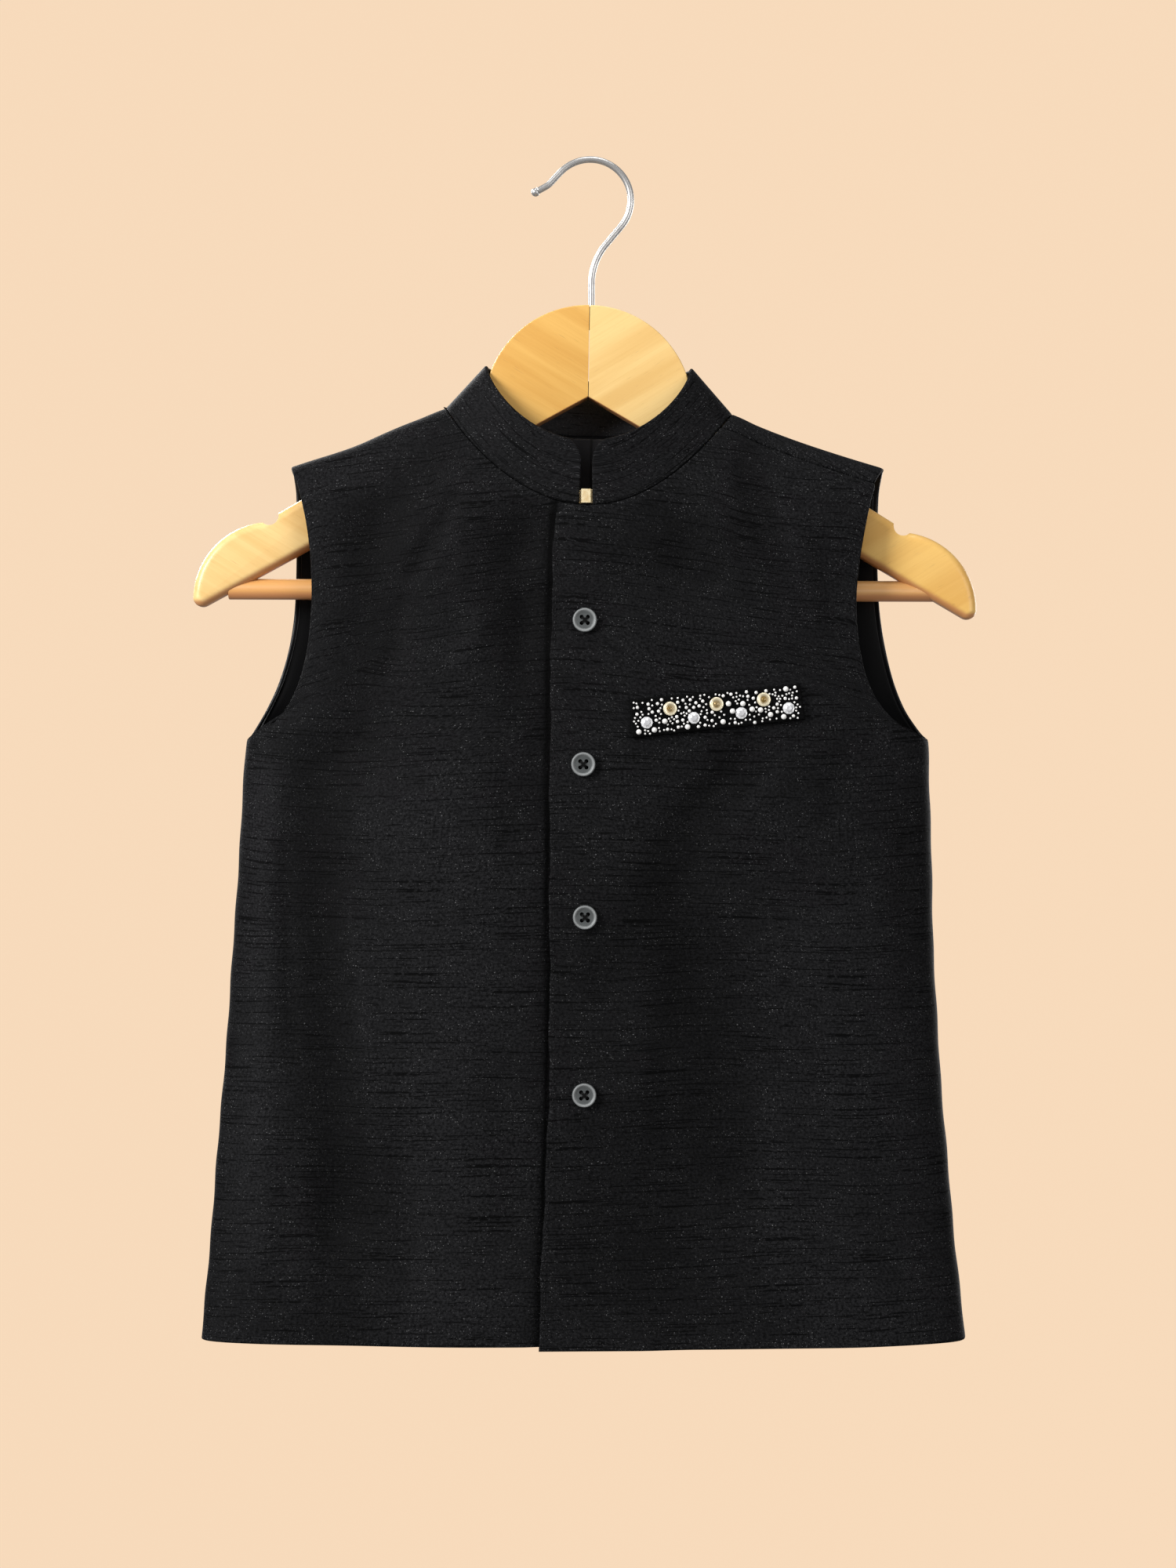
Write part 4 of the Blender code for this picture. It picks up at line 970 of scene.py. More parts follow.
def ring_solid(rings):
    """The points and faces of a closed solid from rings of equal counts, and its two flat ends."""
    count = len(rings[0])
    points = np.concatenate(rings)
    faces = []
    for k in range(len(rings) - 1):
        for i in range(count):
            j = (i + 1) % count
            faces.append((k * count + i, k * count + j, (k + 1) * count + j, (k + 1) * count + i))
    last = (len(rings) - 1) * count
    faces.append(tuple(reversed(range(count))))
    faces.append(tuple(last + i for i in range(count)))
    return points, faces, (len(faces) - 2, len(faces) - 1)


def circle(centre, one, other, radius, sides):
    turn = np.linspace(0, 2 * math.pi, sides, endpoint=False)[:, None]
    return np.asarray(centre) + radius * (np.cos(turn) * np.asarray(one) + np.sin(turn) * np.asarray(other))


def rod_between(start, end, radius, sides, soft=0.0):
    """A round rod, its ends softened by this much."""
    start, end = Vector(start), Vector(end)
    way = (end - start).normalized()
    one = way.orthogonal().normalized()
    other = way.cross(one)
    rings = []
    ends = [(0, soft), (0.3 * soft, 0.3 * soft), (soft, 0)] if soft else [(0, 0)]
    for run, less in ends:
        rings.append(circle(start + way * run, one, other, radius - less, sides))
    for run, less in reversed(ends):
        rings.append(circle(end - way * run, one, other, radius - less, sides))
    return ring_solid(rings)


def as_mesh(piece):
    """A plain mesh of an object as its modifiers leave it."""
    shown = piece.evaluated_get(bpy.context.evaluated_depsgraph_get())
    return bpy.data.meshes.new_from_object(shown)


def boolean_cut(piece, points, faces):
    """Cuts a plain shape out of a piece."""
    tool = new_object("tool", mesh_of("tool", points, faces))
    modifier = piece.modifiers.new("cut", "BOOLEAN")
    modifier.operation, modifier.solver, modifier.object = "DIFFERENCE", "EXACT", tool
    made = as_mesh(piece)
    piece.modifiers.clear()
    piece.data = made
    bpy.data.objects.remove(tool)


# A button's own outline: radius and height above the cloth, from the back to the dished middle
BUTTON_PROFILE = (
    (3.7, 0.0), (4.4, 0.1), (5.05, 0.45), (5.4, 0.9), (5.5, 1.3), (5.47, 1.75), (5.35, 2.1),
    (5.15, 2.32), (4.92, 2.4), (4.68, 2.38), (4.45, 2.22), (4.25, 1.98), (4.05, 1.8), (3.72, 1.7),
    (2.7, 1.62), (1.35, 1.6),
)
# Where the rim's painted highlight starts and how far it rises, and where the wall's painted shade starts,
# how far it rises and how deep it is
BUTTON_RIM = (3.9, 0.5)
BUTTON_WALL = (5.0, 0.4)
BUTTON_WALL_SHADE = 0.85
BUTTON_HOLE_RADIUS = 0.92
BUTTON_HOLE_REACH = 1.4
# Each cross is two pairs of strands, one laid over the other, and no two crosses lie alike
THREAD_RADIUS = 0.25
THREAD_APART = 0.28
THREAD_REACH = 1.36 * BUTTON_HOLE_REACH
THREAD_DROP = 1.2
THREAD_LEAN = 0.024


def button_place(trim):
    """The frame of a button: its seat, with its own Z square to the cloth."""
    m, a = spot("front", trim.x, trim.z)
    way = Vector(normals(lap_cloth, m, a))
    seat = Vector(lap_cloth(m, a)) + way * JOINT_GAP
    return Matrix.Translation(seat) @ way.to_track_quat("Z", "Y").to_matrix().to_4x4()


def build_buttons(finish, thread):
    """Dished buttons with a raised rim and four holes, each sewn on with a cross of thread."""
    x_axis, y_axis = (1, 0, 0), (0, 1, 0)
    threads = []
    for number, trim in enumerate(BUTTONS, start=1):
        at = button_place(trim)
        rings = [circle((0, 0, height), x_axis, y_axis, radius, 64) for radius, height in BUTTON_PROFILE]
        points, faces, _ = ring_solid(rings)
        points = [at @ Vector(p) for p in points]
        button = new_object(f"button_{number}_turned", mesh_of("button", points, faces), finish)
        for across, up in ((-1, -1), (1, -1), (-1, 1), (1, 1)):
            x, y = across * BUTTON_HOLE_REACH, up * BUTTON_HOLE_REACH
            hole_points, hole_faces, _ = rod_between((x, y, -1), (x, y, 4), BUTTON_HOLE_RADIUS, 16)
            boolean_cut(button, [at @ Vector(p) for p in hole_points], hole_faces)
        button.data.shade_smooth()
        back = at.inverted()
        near = np.array([(back @ (v.co / MM)).to_2d().length for v in button.data.vertices])
        # The raised rim is painted paler as a highlight, and painted shade takes it off the outer wall
        wall = 1 - BUTTON_WALL_SHADE * ease((near - BUTTON_WALL[0]) / BUTTON_WALL[1])
        mark(button.data, "rim", ease((near - BUTTON_RIM[0]) / BUTTON_RIM[1]) * wall)
        button.data.set_sharp_from_angle(angle=math.radians(50))
        ride(button, f"button_{number}")
        lean = THREAD_LEAN * (number - 2.5)
        for turn in (math.pi / 4, 3 * math.pi / 4):
            for offset in (-THREAD_APART, THREAD_APART):
                way = Vector((math.cos(turn + lean), math.sin(turn + lean), 0))
                side = Vector((-way.y, way.x, 0)) * offset
                path = []
                for share in np.linspace(-1, 1, 9):
                    over = 1.95 + 0.28 * math.cos(share * math.pi / 2)
                    lift = over if turn > 1 else 1.8 + 0.2 * math.cos(share * 2)
                    if abs(share) == 1:
                        lift -= THREAD_DROP
                    path.append(at @ (way * share * THREAD_REACH + side + Vector((0, 0, lift))))
                threads.append(path)
    join_tubes("button_threads", threads, THREAD_RADIUS, thread)


def join_tubes(name, paths, radius, finish):
    """Thin round tubes along paths, as one piece."""
    curve = bpy.data.curves.new(name, "CURVE")
    curve.dimensions = "3D"
    curve.bevel_depth, curve.bevel_resolution, curve.use_fill_caps = radius * MM, 2, True
    for path in paths:
        spline = curve.splines.new("POLY")
        spline.points.add(len(path) - 1)
        for point, place in zip(spline.points, path):
            point.co = (*(Vector(place) * MM), 1)
    drawn = bpy.data.objects.new(name + "_line", curve)
    bpy.context.scene.collection.objects.link(drawn)
    mesh = as_mesh(drawn)
    bpy.data.objects.remove(drawn)
    mesh.materials.clear()
    mesh.shade_smooth()
    return ride(new_object(name, mesh, finish))


def hanger_arc(centre, radius, start, end, steps):
    turn = np.radians(np.linspace(start, end, steps + 1))
    return list(zip(centre[0] + radius * np.cos(turn), centre[1] + radius * np.sin(turn)))


def filled(outline, pitch):
    """The outline with more points where it runs straight."""
    points = []
    for one, other in zip(outline, outline[1:]):
        count = math.ceil(math.dist(one, other) / pitch)
        points += [np.add(one, np.subtract(other, one) * i / count) for i in range(count)]
    return np.array(points + [outline[-1]])


def half_hanger_outline():
    """One half of the hanger seen from the front: distance from its middle, and height."""
    slope = math.atan(ARM_SLOPE)
    reach = DOME_RADIUS + DOME_FILLET
    arm_top = ARM_TOP_AT_65 + ARM_SLOPE * 65
    lift = arm_top + DOME_FILLET / math.cos(slope) - DOME_Z
    low, high = 0.0, 90.0
    for _ in range(50):
        turn = (low + high) / 2
        x, z = reach * math.cos(math.radians(turn)), reach * math.sin(math.radians(turn))
        if z > lift - ARM_SLOPE * x:
            high = turn
        else:
            low = turn
    fillet = (reach * math.cos(math.radians(turn)), DOME_Z + reach * math.sin(math.radians(turn)))
    gap = JOINT_GAP / 2
    outline = hanger_arc((0, DOME_Z), DOME_RADIUS, math.degrees(math.acos(gap / DOME_RADIUS)), turn, 40)
    outline += hanger_arc(fillet, DOME_FILLET, 180 + turn, 270 - math.degrees(slope), 10)[1:]
    outline += hanger_arc(TIP_CENTRE, TIP_RADIUS, *TIP_TURN, 30)
    heel = (TIP_CENTRE[0] + TIP_RADIUS - HEEL_RADIUS, TIP_CENTRE[1] + HEEL_LIFT)
    outline += hanger_arc(heel, HEEL_RADIUS, *HEEL_TURN, 14)
    outline.append((gap, UNDERSIDE_Z - UNDERSIDE_SLOPE * gap))
    return filled(outline, STRAIGHT_STEP)


def crispness(outline):
    """How steep the hanger's edges are rounded: crisp about its dome and middle, full on its arms."""
    return HANGER_CRISP + (1 - HANGER_CRISP) * ease((outline[:, 0] - CRISP_TO_X) / CRISP_FADE)


def shrunk(outline, by):
    """The outline moved inwards. It runs clockwise, and its two ends stay on the middle joint."""
    steps = np.diff(np.concatenate([outline[-1:], outline, outline[:1]]), axis=0)
    steps /= np.linalg.norm(steps, axis=1, keepdims=True)
    ways = np.stack([steps[:, 1], -steps[:, 0]], axis=-1)
    before, after = ways[:-1], ways[1:]
    share = 1 + np.sum(before * after, axis=1, keepdims=True)
    moved = outline + by * crispness(outline)[:, None] * (before + after) / share
    moved[0] = outline[0] - (0, by * HANGER_CRISP)
    moved[-1] = outline[-1] + (0, by * HANGER_CRISP * math.hypot(1, UNDERSIDE_SLOPE))
    return moved


# How far each point faces down, for the painted shade on the wood's undersides
def mark_underside_shade(mesh):
    mark(mesh, "under", [max(0.0, -vertex.normal.z) for vertex in mesh.vertices])


def build_hanger(finishes):
    """Two halves with rounded edges that meet in the middle, each with a notch for straps."""
    outline = half_hanger_outline()
    half, turns = HANGER_THICK / 2, np.linspace(0, math.pi / 2, 7)
    levels = [(HANGER_EDGE * (1 - math.sin(t)), HANGER_EDGE * (1 - math.cos(t)) - half) for t in turns]
    levels += [(by, -y) for by, y in reversed(levels)]
    tilt = Matrix.Rotation(HANGER_TILT, 4, "Y")
    for side, name in ((-1, "hanger_half_right"), (1, "hanger_half_left")):
        rings = []
        for by, y in levels:
            depths = math.copysign(1, y) * (half - (half - abs(y)) * crispness(outline))
            places = zip(shrunk(outline, by), depths)
            rings.append([tilt @ Vector((HANGER_X + side * x, d, z)) for (x, z), d in places])
        points, faces, ends = ring_solid(rings)
        piece = new_object(name + "_shaped", mesh_of(name, points, faces, ends), finishes[side])
        x, z = HANGER_X + side * NOTCH_CENTRE[0], NOTCH_CENTRE[1]
        before, behind = (tilt @ Vector((x, y, z)) for y in (-HANGER_THICK, HANGER_THICK))
        tool_points, tool_faces, _ = rod_between(before, behind, NOTCH_RADIUS, 48)
        boolean_cut(piece, tool_points, tool_faces)
        piece.data.set_sharp_from_angle(angle=math.radians(45))
        mark_underside_shade(piece.data)
        ride(piece, name)


def build_bar(finish):
    ends = [(x, 0, z) for x, z in (BAR_RIGHT, BAR_LEFT)]
    points, faces, _ = rod_between(ends[0], ends[1], BAR_RADIUS, 48, soft=0.5)
    bar = new_object("trouser_bar_turned", mesh_of("trouser_bar", points, faces), finish)
    bar.data.set_sharp_from_angle(angle=math.radians(35))
    mark_underside_shade(bar.data)
    ride(bar, "trouser_bar")


def hook_path():
    """The wire's centre line from the foot of its stem to its ball, the rail's seat at the origin."""
    x, z, heading = 0.0, 0.0, math.radians(90)
    points = [Vector((x, 0, z))]
    for bend in HOOK_BENDS:
        for _ in range(6):
            x += bend.straight / 6 * math.cos(heading)
            z += bend.straight / 6 * math.sin(heading)
            points.append(Vector((x, 0, z)))
        steps = round(abs(bend.turn) / 2.5)
        for _ in range(steps):
            turn = math.radians(bend.turn) / steps
            chord = 2 * bend.radius * math.sin(abs(turn) / 2)
            heading += turn / 2
            x += chord * math.cos(heading)
            z += chord * math.sin(heading)
            heading += turn / 2
            points.append(Vector((x, 0, z)))
    highest = max(points, key=lambda point: point.z)
    shift = Vector((-highest.x, 0, WIRE_RADIUS - highest.z))
    return [point + shift for point in points]


def build_hook(finish):
    """Bent round wire that ends in a small ball."""
    path = hook_path()
    ball = path.pop()
    way = (ball - path[-1]).normalized()
    radii = [WIRE_RADIUS] * len(path)
    for turn in np.linspace(130, 6, 14):
        path.append(ball + way * BALL_RADIUS * math.cos(math.radians(turn)))
        radii.append(BALL_RADIUS * math.sin(math.radians(turn)))
    rings = []
    for i, (centre, radius) in enumerate(zip(path, radii)):
        ahead = (path[min(len(path) - 1, i + 1)] - path[max(0, i - 1)]).normalized()
        rings.append(circle(centre, (0, 1, 0), ahead.cross(Vector((0, 1, 0))), radius, 24))
    points, faces, _ = ring_solid(rings)
    ride(new_object("hook_bent", mesh_of("hook", points, faces), finish), "hook")


# What is repeated: stitches along a seam, and beads and discs on the pocket mouth


class Patterned:
    """A Geometry Nodes tree that is used once and then baked into a plain mesh."""

    def __init__(self, name, **sizes):
        self.tree = bpy.data.node_groups.new(name, "GeometryNodeTree")
        face = self.tree.interface
        face.new_socket("Geometry", in_out="INPUT", socket_type="NodeSocketGeometry")
        self.ids = {}
        for title in sizes:
            shown = title.replace("_", " ").title()
            socket = face.new_socket(shown, in_out="INPUT", socket_type="NodeSocketFloat")
            self.ids[title] = socket.identifier
        self.sizes = sizes
        face.new_socket("Geometry", in_out="OUTPUT", socket_type="NodeSocketGeometry")
        self.source = self.tree.nodes.new("NodeGroupInput")
        self.end = self.tree.nodes.new("NodeGroupOutput")

    def size(self, title):
        return self.source.outputs[title.replace("_", " ").title()]

    def node(self, kind, settings=None, values=None):
        made = self.tree.nodes.new(kind)
        for key, value in (settings or {}).items():
            setattr(made, key, value)
        for key, value in (values or {}).items():
            if isinstance(value, bpy.types.NodeSocket):
                self.tree.links.new(value, made.inputs[key])
            else:
                made.inputs[key].default_value = value
        return made

    def laid(self, points, shape, axis, way, scale):
        """A shape laid on every point, with its own axis turned this way."""
        turn = self.node("FunctionNodeAlignRotationToVector", {"axis": axis}, {"Vector": way.outputs[0]})
        values = {"Points": points, "Instance": shape, "Rotation": turn, "Scale": scale}
        values = {key: made.outputs[0] for key, made in values.items()}
        return self.node("GeometryNodeInstanceOnPoints", values=values)

    def baked(self, name, base, shapes, finish):
        """Turns the shapes into real faces with their finish, and returns the finished piece."""
        real = self.node("GeometryNodeRealizeInstances", values={"Geometry": shapes.outputs[0]})
        values = {"Geometry": real.outputs[0], "Material": finish}
        painted = self.node("GeometryNodeSetMaterial", values=values)
        self.tree.links.new(painted.outputs[0], self.end.inputs[0])
        carrier = new_object(name + "_base", base)
        modifier = carrier.modifiers.new("pattern", "NODES")
        modifier.node_group = self.tree
        for title, value in self.sizes.items():
            modifier[self.ids[title]] = value
        mesh = as_mesh(carrier)
        carrier.modifiers.clear()
        bpy.data.objects.remove(carrier)
        mesh.shade_smooth()
        return new_object(name, mesh)


def chain_mesh(name, paths):
    """Paths as points joined by edges, in metres."""
    points, edges = [], []
    for path in paths:
        edges += [(len(points) + i, len(points) + i + 1) for i in range(len(path) - 1)]
        points += [tuple(Vector(p) * MM) for p in path]
    mesh = bpy.data.meshes.new(name)
    mesh.from_pydata(points, edges, [])
    return mesh


def sewn(name, paths, pitch, stitch, radius, finish, slot_name):
    """A run of short stitches along paths on the cloth, sizes in millimetres."""
    tree = Patterned(name, pitch=pitch * MM, stitch_length=stitch * MM, thread_radius=radius * MM)
    line_of = tree.node("GeometryNodeMeshToCurve", values={"Mesh": tree.source.outputs[0]})
    values = {"Curve": line_of.outputs[0], "Length": tree.size("pitch")}
    even = tree.node("GeometryNodeResampleCurve", {"mode": "LENGTH"}, values)
    way = tree.node("GeometryNodeInputTangent")
    ball = tree.node("GeometryNodeMeshIcoSphere", values={"Radius": 1.0, "Subdivisions": 2})
    values = {0: tree.size("stitch_length"), 1: 0.5}
    half = tree.node("ShaderNodeMath", {"operation": "MULTIPLY"}, values)
    thin = tree.size("thread_radius")
    size = tree.node("ShaderNodeCombineXYZ", values={0: half.outputs[0], 1: thin, 2: thin})
    stitches = tree.laid(even, ball, "X", way, size)
    return ride(tree.baked(name, chain_mesh(name, paths), stitches, finish))


def strewn(name, places, sizes, squash, radius, finish):
    """Small round beads at places on a surface, each with its own size."""
    mesh = bpy.data.meshes.new(name)
    mesh.from_pydata([tuple(Vector(p) * MM) for p, _ in places], [], [])
    mark(mesh, "size", sizes)
    out = mesh.attributes.new("out", "FLOAT_VECTOR", "POINT")
    ways = np.array([tuple(way) for _, way in places], dtype=np.float32)
    out.data.foreach_set("vector", ways.ravel())
    tree = Patterned(name, radius=radius * MM, flatness=squash)
    named = "GeometryNodeInputNamedAttribute"
    points = tree.node("GeometryNodeMeshToPoints", values={"Mesh": tree.source.outputs[0]})
    each = tree.node(named, {"data_type": "FLOAT"}, {"Name": "size"})
    way = tree.node(named, {"data_type": "FLOAT_VECTOR"}, {"Name": "out"})
    values = {"Segments": 12, "Rings": 7, "Radius": tree.size("radius")}
    ball = tree.node("GeometryNodeMeshUVSphere", values=values)
    flat = tree.node("ShaderNodeCombineXYZ", values={0: 1.0, 1: 1.0, 2: tree.size("flatness")})
    values = {0: flat.outputs[0], "Scale": each.outputs[0]}
    scale = tree.node("ShaderNodeVectorMath", {"operation": "SCALE"}, values)
    return ride(tree.baked(name, mesh, tree.laid(points, ball, "Z", way, scale), finish))


BEAD_SEED = 23
BEAD_TRIES = 4000
BEAD_FLATNESS = 0.9
BEAD_SUNK = 0.7
BEADS_ACROSS = (0.02, 0.98)
BEADS_UP = (0.07, 0.93)
Bead = namedtuple("Bead", "count radius apart")
BEAD_SIZES = (Bead(13, 1.25, 1.0), Bead(44, 0.78, 0.45), Bead(135, 0.48, 0.30))
# The sequins stand in a zigzag row of two metals, with a clear ring about each
DISC_COUNT = 7
DISC_START = 0.09
DISC_PITCH = 0.137
DISC_HIGH = 0.66
DISC_LOW = 0.36
DISC_LIFT = 0.05
DISC_CLEAR = 0.1
# The outlines of two kinds of sequin, each a radius and a height above the pocket mouth
GOLD_DISC = (
    (2.9, 0.0), (3.15, 0.25), (3.15, 0.6), (2.9, 0.85), (2.5, 0.9), (1.9, 0.7), (1.3, 0.45),
    (0.9, 0.75), (0.35, 0.95),
)
SILVER_DISC = (
    (2.5, 0.0), (2.75, 0.2), (2.7, 0.55), (2.35, 0.7), (2.1, 0.55), (1.95, 0.9), (1.2, 1.45),
    (0.5, 1.5),
)


def on_welt(u, v, lift):
    """A place on the pocket mouth's face, lifted off it, and the way out there."""
    way = normals(welt_place, np.array([u]), np.array([v]))[0]
    return Vector(welt_place(np.array([u]), np.array([v]))[0] + way * (WELT_OUT + lift)), Vector(way)


def discs_of(name, places, profile, sides, smooth, finish):
    """Turned or cut sequins, all of one kind."""
    points, faces = [], []
    for at, way in places:
        frame = Matrix.Translation(at) @ way.to_track_quat("Z", "Y").to_matrix().to_4x4()
        rings = [circle((0, 0, height), (1, 0, 0), (0, 1, 0), radius, sides) for radius, height in profile]
        own, own_faces, _ = ring_solid(rings)
        faces += [tuple(len(points) + i for i in face) for face in own_faces]
        points += [frame @ Vector(p) for p in own]
    mesh = mesh_of(name, points, faces)
    mesh.set_sharp_from_angle(angle=math.radians(60 if smooth else 12))
    widest = max(radius for radius, _ in profile)
    share = np.repeat([radius / widest for radius, _ in profile], sides)
    # Darker towards the middle: the painted reflection in each sequin's sunken middle
    mark(mesh, "rim", ease((np.tile(share, len(places)) - 0.45) / 0.3))
    ride(new_object(name, mesh, finish))


def decorate_welt(pearl, gold, silver):
    """Beads strewn by rule among a row of sequins of two metals."""
    places = [
        (DISC_START + DISC_PITCH * i, DISC_HIGH if i % 2 else DISC_LOW) for i in range(DISC_COUNT)
    ]
    radii = [(GOLD_DISC if i % 2 else SILVER_DISC)[1][0] for i in range(DISC_COUNT)]
    discs = [(u, v, radius) for (u, v), radius in zip(places, radii)]
    on_cloth = [on_welt(u, v, DISC_LIFT) for u, v in places]
    discs_of("gold_discs", on_cloth[1::2], GOLD_DISC, 32, True, gold)
    discs_of("silver_discs", on_cloth[0::2], SILVER_DISC, 10, False, silver)

    def clear(u, v, others, least):
        """Whether a place stands far enough from others, each with a radius of its own."""
        return all(
            math.hypot((u - x) * WELT_LENGTH, (v - y) * WELT_HEIGHT) > radius + least
            for x, y, radius in others
        )

    chance = random.Random(BEAD_SEED)
    beads = []
    for bead in BEAD_SIZES:
        sought = len(beads) + bead.count
        for _ in range(BEAD_TRIES):
            if len(beads) == sought:
                break
            u, v = chance.uniform(*BEADS_ACROSS), chance.uniform(*BEADS_UP)
            off_discs = clear(u, v, discs, bead.radius + DISC_CLEAR)
            if off_discs and clear(u, v, beads, bead.radius + bead.apart):
                beads.append((u, v, bead.radius))
    largest = BEAD_SIZES[0].radius
    places = [on_welt(u, v, radius * BEAD_SUNK) for u, v, radius in beads]
    sizes = [radius / largest for _, _, radius in beads]
    strewn("pocket_beads", places, sizes, BEAD_FLATNESS, largest, pearl)


def on_front(x, z, lift=0.12):
    places = spot("front", np.asarray(x, float), np.asarray(z, float))
    way = normals(lap_cloth, places[:, 0], places[:, 1])
    return lap_cloth(places[:, 0], places[:, 1]) + way * lift


STITCHES_FROM_Z = -166.0
STITCHES_TO_Z = -538.0
STITCHES_IN = 1.8
STITCH_PITCH = 2.9
STITCH_LENGTH = 0.9
STITCH_RADIUS = 0.16


def sew(thread):
    """Prick stitches down the lapped edge."""
    z = np.linspace(STITCHES_FROM_Z, STITCHES_TO_Z, 300)
    path = on_front(read(LAP_EDGE, "z", "x", z) + STITCHES_IN, z)
    sizes = (STITCH_PITCH, STITCH_LENGTH, STITCH_RADIUS)
    sewn("lap_stitches", [path], *sizes, thread, "black_dupion")


# Materials


class Wire:
    """One output of a shader node, on which Python's own operators add Math nodes."""

    def __init__(self, finish, socket):
        self.finish, self.socket = finish, socket

    def __add__(self, other):
        return self.finish.maths("ADD", self, other)

    def __sub__(self, other):
        return self.finish.maths("SUBTRACT", self, other)

    def __rsub__(self, other):
        return self.finish.maths("SUBTRACT", other, self)

    def __mul__(self, other):
        return self.finish.maths("MULTIPLY", self, other)

    def step(self, low, high):
        """0 below low, 1 above high, and smooth between."""
        settings = {"interpolation_type": "SMOOTHSTEP"}
        values = {"Value": self, "From Min": low, "From Max": high}
        return self.finish.node("ShaderNodeMapRange", settings, values)

    __radd__ = __add__
    __rmul__ = __mul__


class Finish:
    """A material being made: every node comes from node, and look sets the surface itself."""

    def __init__(self, name):
        self.material = bpy.data.materials.new(name)
        self.material.use_nodes = True
        self.tree = self.material.node_tree
        self.tree.nodes.clear()

    def node(self, kind, settings=None, values=None, out=0):
        made = self.tree.nodes.new(kind)
        for key, value in (settings or {}).items():
            setattr(made, key, value)
        for key, value in (values or {}).items():
            if isinstance(value, Wire):
                self.tree.links.new(value.socket, made.inputs[key])
            else:
                made.inputs[key].default_value = value
        return Wire(self, made.outputs[out])

    def maths(self, operation, one, other):
        return self.node("ShaderNodeMath", {"operation": operation}, {0: one, 1: other})

    def mixed(self, factor, one, other):
        """One colour turning into another."""
        one, other = ((*c, 1.0) if isinstance(c, tuple) else c for c in (one, other))
        return self.node("ShaderNodeMix", {"data_type": "RGBA"}, {0: factor, 6: one, 7: other}, out=2)

    def scaled(self, colour, by):
        values = {0: colour, "Scale": by}
        return self.node("ShaderNodeVectorMath", {"operation": "SCALE"}, values)

    def most(self, one, other):
        return self.maths("MAXIMUM", one, other)

    def marked(self, name):
        """What mark has set on the mesh's points."""
        return self.node("ShaderNodeAttribute", {"attribute_name": name}, out=2)

    def along_cloth(self):
        return self.node("ShaderNodeUVMap", {"uv_map": "cloth"})

    def through(self):
        return self.node("ShaderNodeTexCoord", out=3)

    def turned(self, at, degrees):
        turn = (0, math.radians(degrees), 0)
        return self.node("ShaderNodeMapping", values={"Vector": at, "Rotation": turn})

    def noise(self, at, stretch, detail=2.0, rough=0.5):
        """Cloudy noise whose grains are 1 / stretch metres each way."""
        at = self.node("ShaderNodeVectorMath", {"operation": "MULTIPLY"}, {0: at, 1: stretch})
        values = {"Vector": at, "Scale": 1.0, "Detail": detail, "Roughness": rough}
        return self.node("ShaderNodeTexNoise", values=values)

    def look(self, colour, roughness, height=None, depth=0.0, strength=1.0, **fixed):
        """Sets the surface: depth is how deep the bumps of height are, in millimetres."""
        values = {"Base Color": colour, "Roughness": roughness}
        if isinstance(colour, tuple):
            values["Base Color"] = (*colour, 1.0)
        if height is not None:
            bump = {"Height": height, "Strength": strength, "Distance": depth * MM}
            values["Normal"] = self.node("ShaderNodeBump", values=bump)
        values.update({key.replace("_", " "): value for key, value in fixed.items()})
        surface = self.node("ShaderNodeBsdfPrincipled", values=values)
        end = self.tree.nodes.new("ShaderNodeOutputMaterial")
        self.tree.links.new(surface.socket, end.inputs["Surface"])
        return self.material


# The cloth's own colours, before gain and painted shade: between its yarns, on them, in worn clouds
# and on dark slubs, and those of its pale nubs; and the painted glints of its brightest specks
CLOTH_DEEP = (0.0006, 0.0006, 0.0008)
CLOTH_FACE = (0.0128, 0.0128, 0.0138)
CLOTH_CLOUD = (0.0040, 0.0040, 0.0043)
SLUB_DARK = (0.0003, 0.0003, 0.0004)
NUB_PALE = (0.043, 0.043, 0.045)
PAINTED_GLINT_PALE = (0.120, 0.120, 0.122)
LEAST_SHADE = 0.12


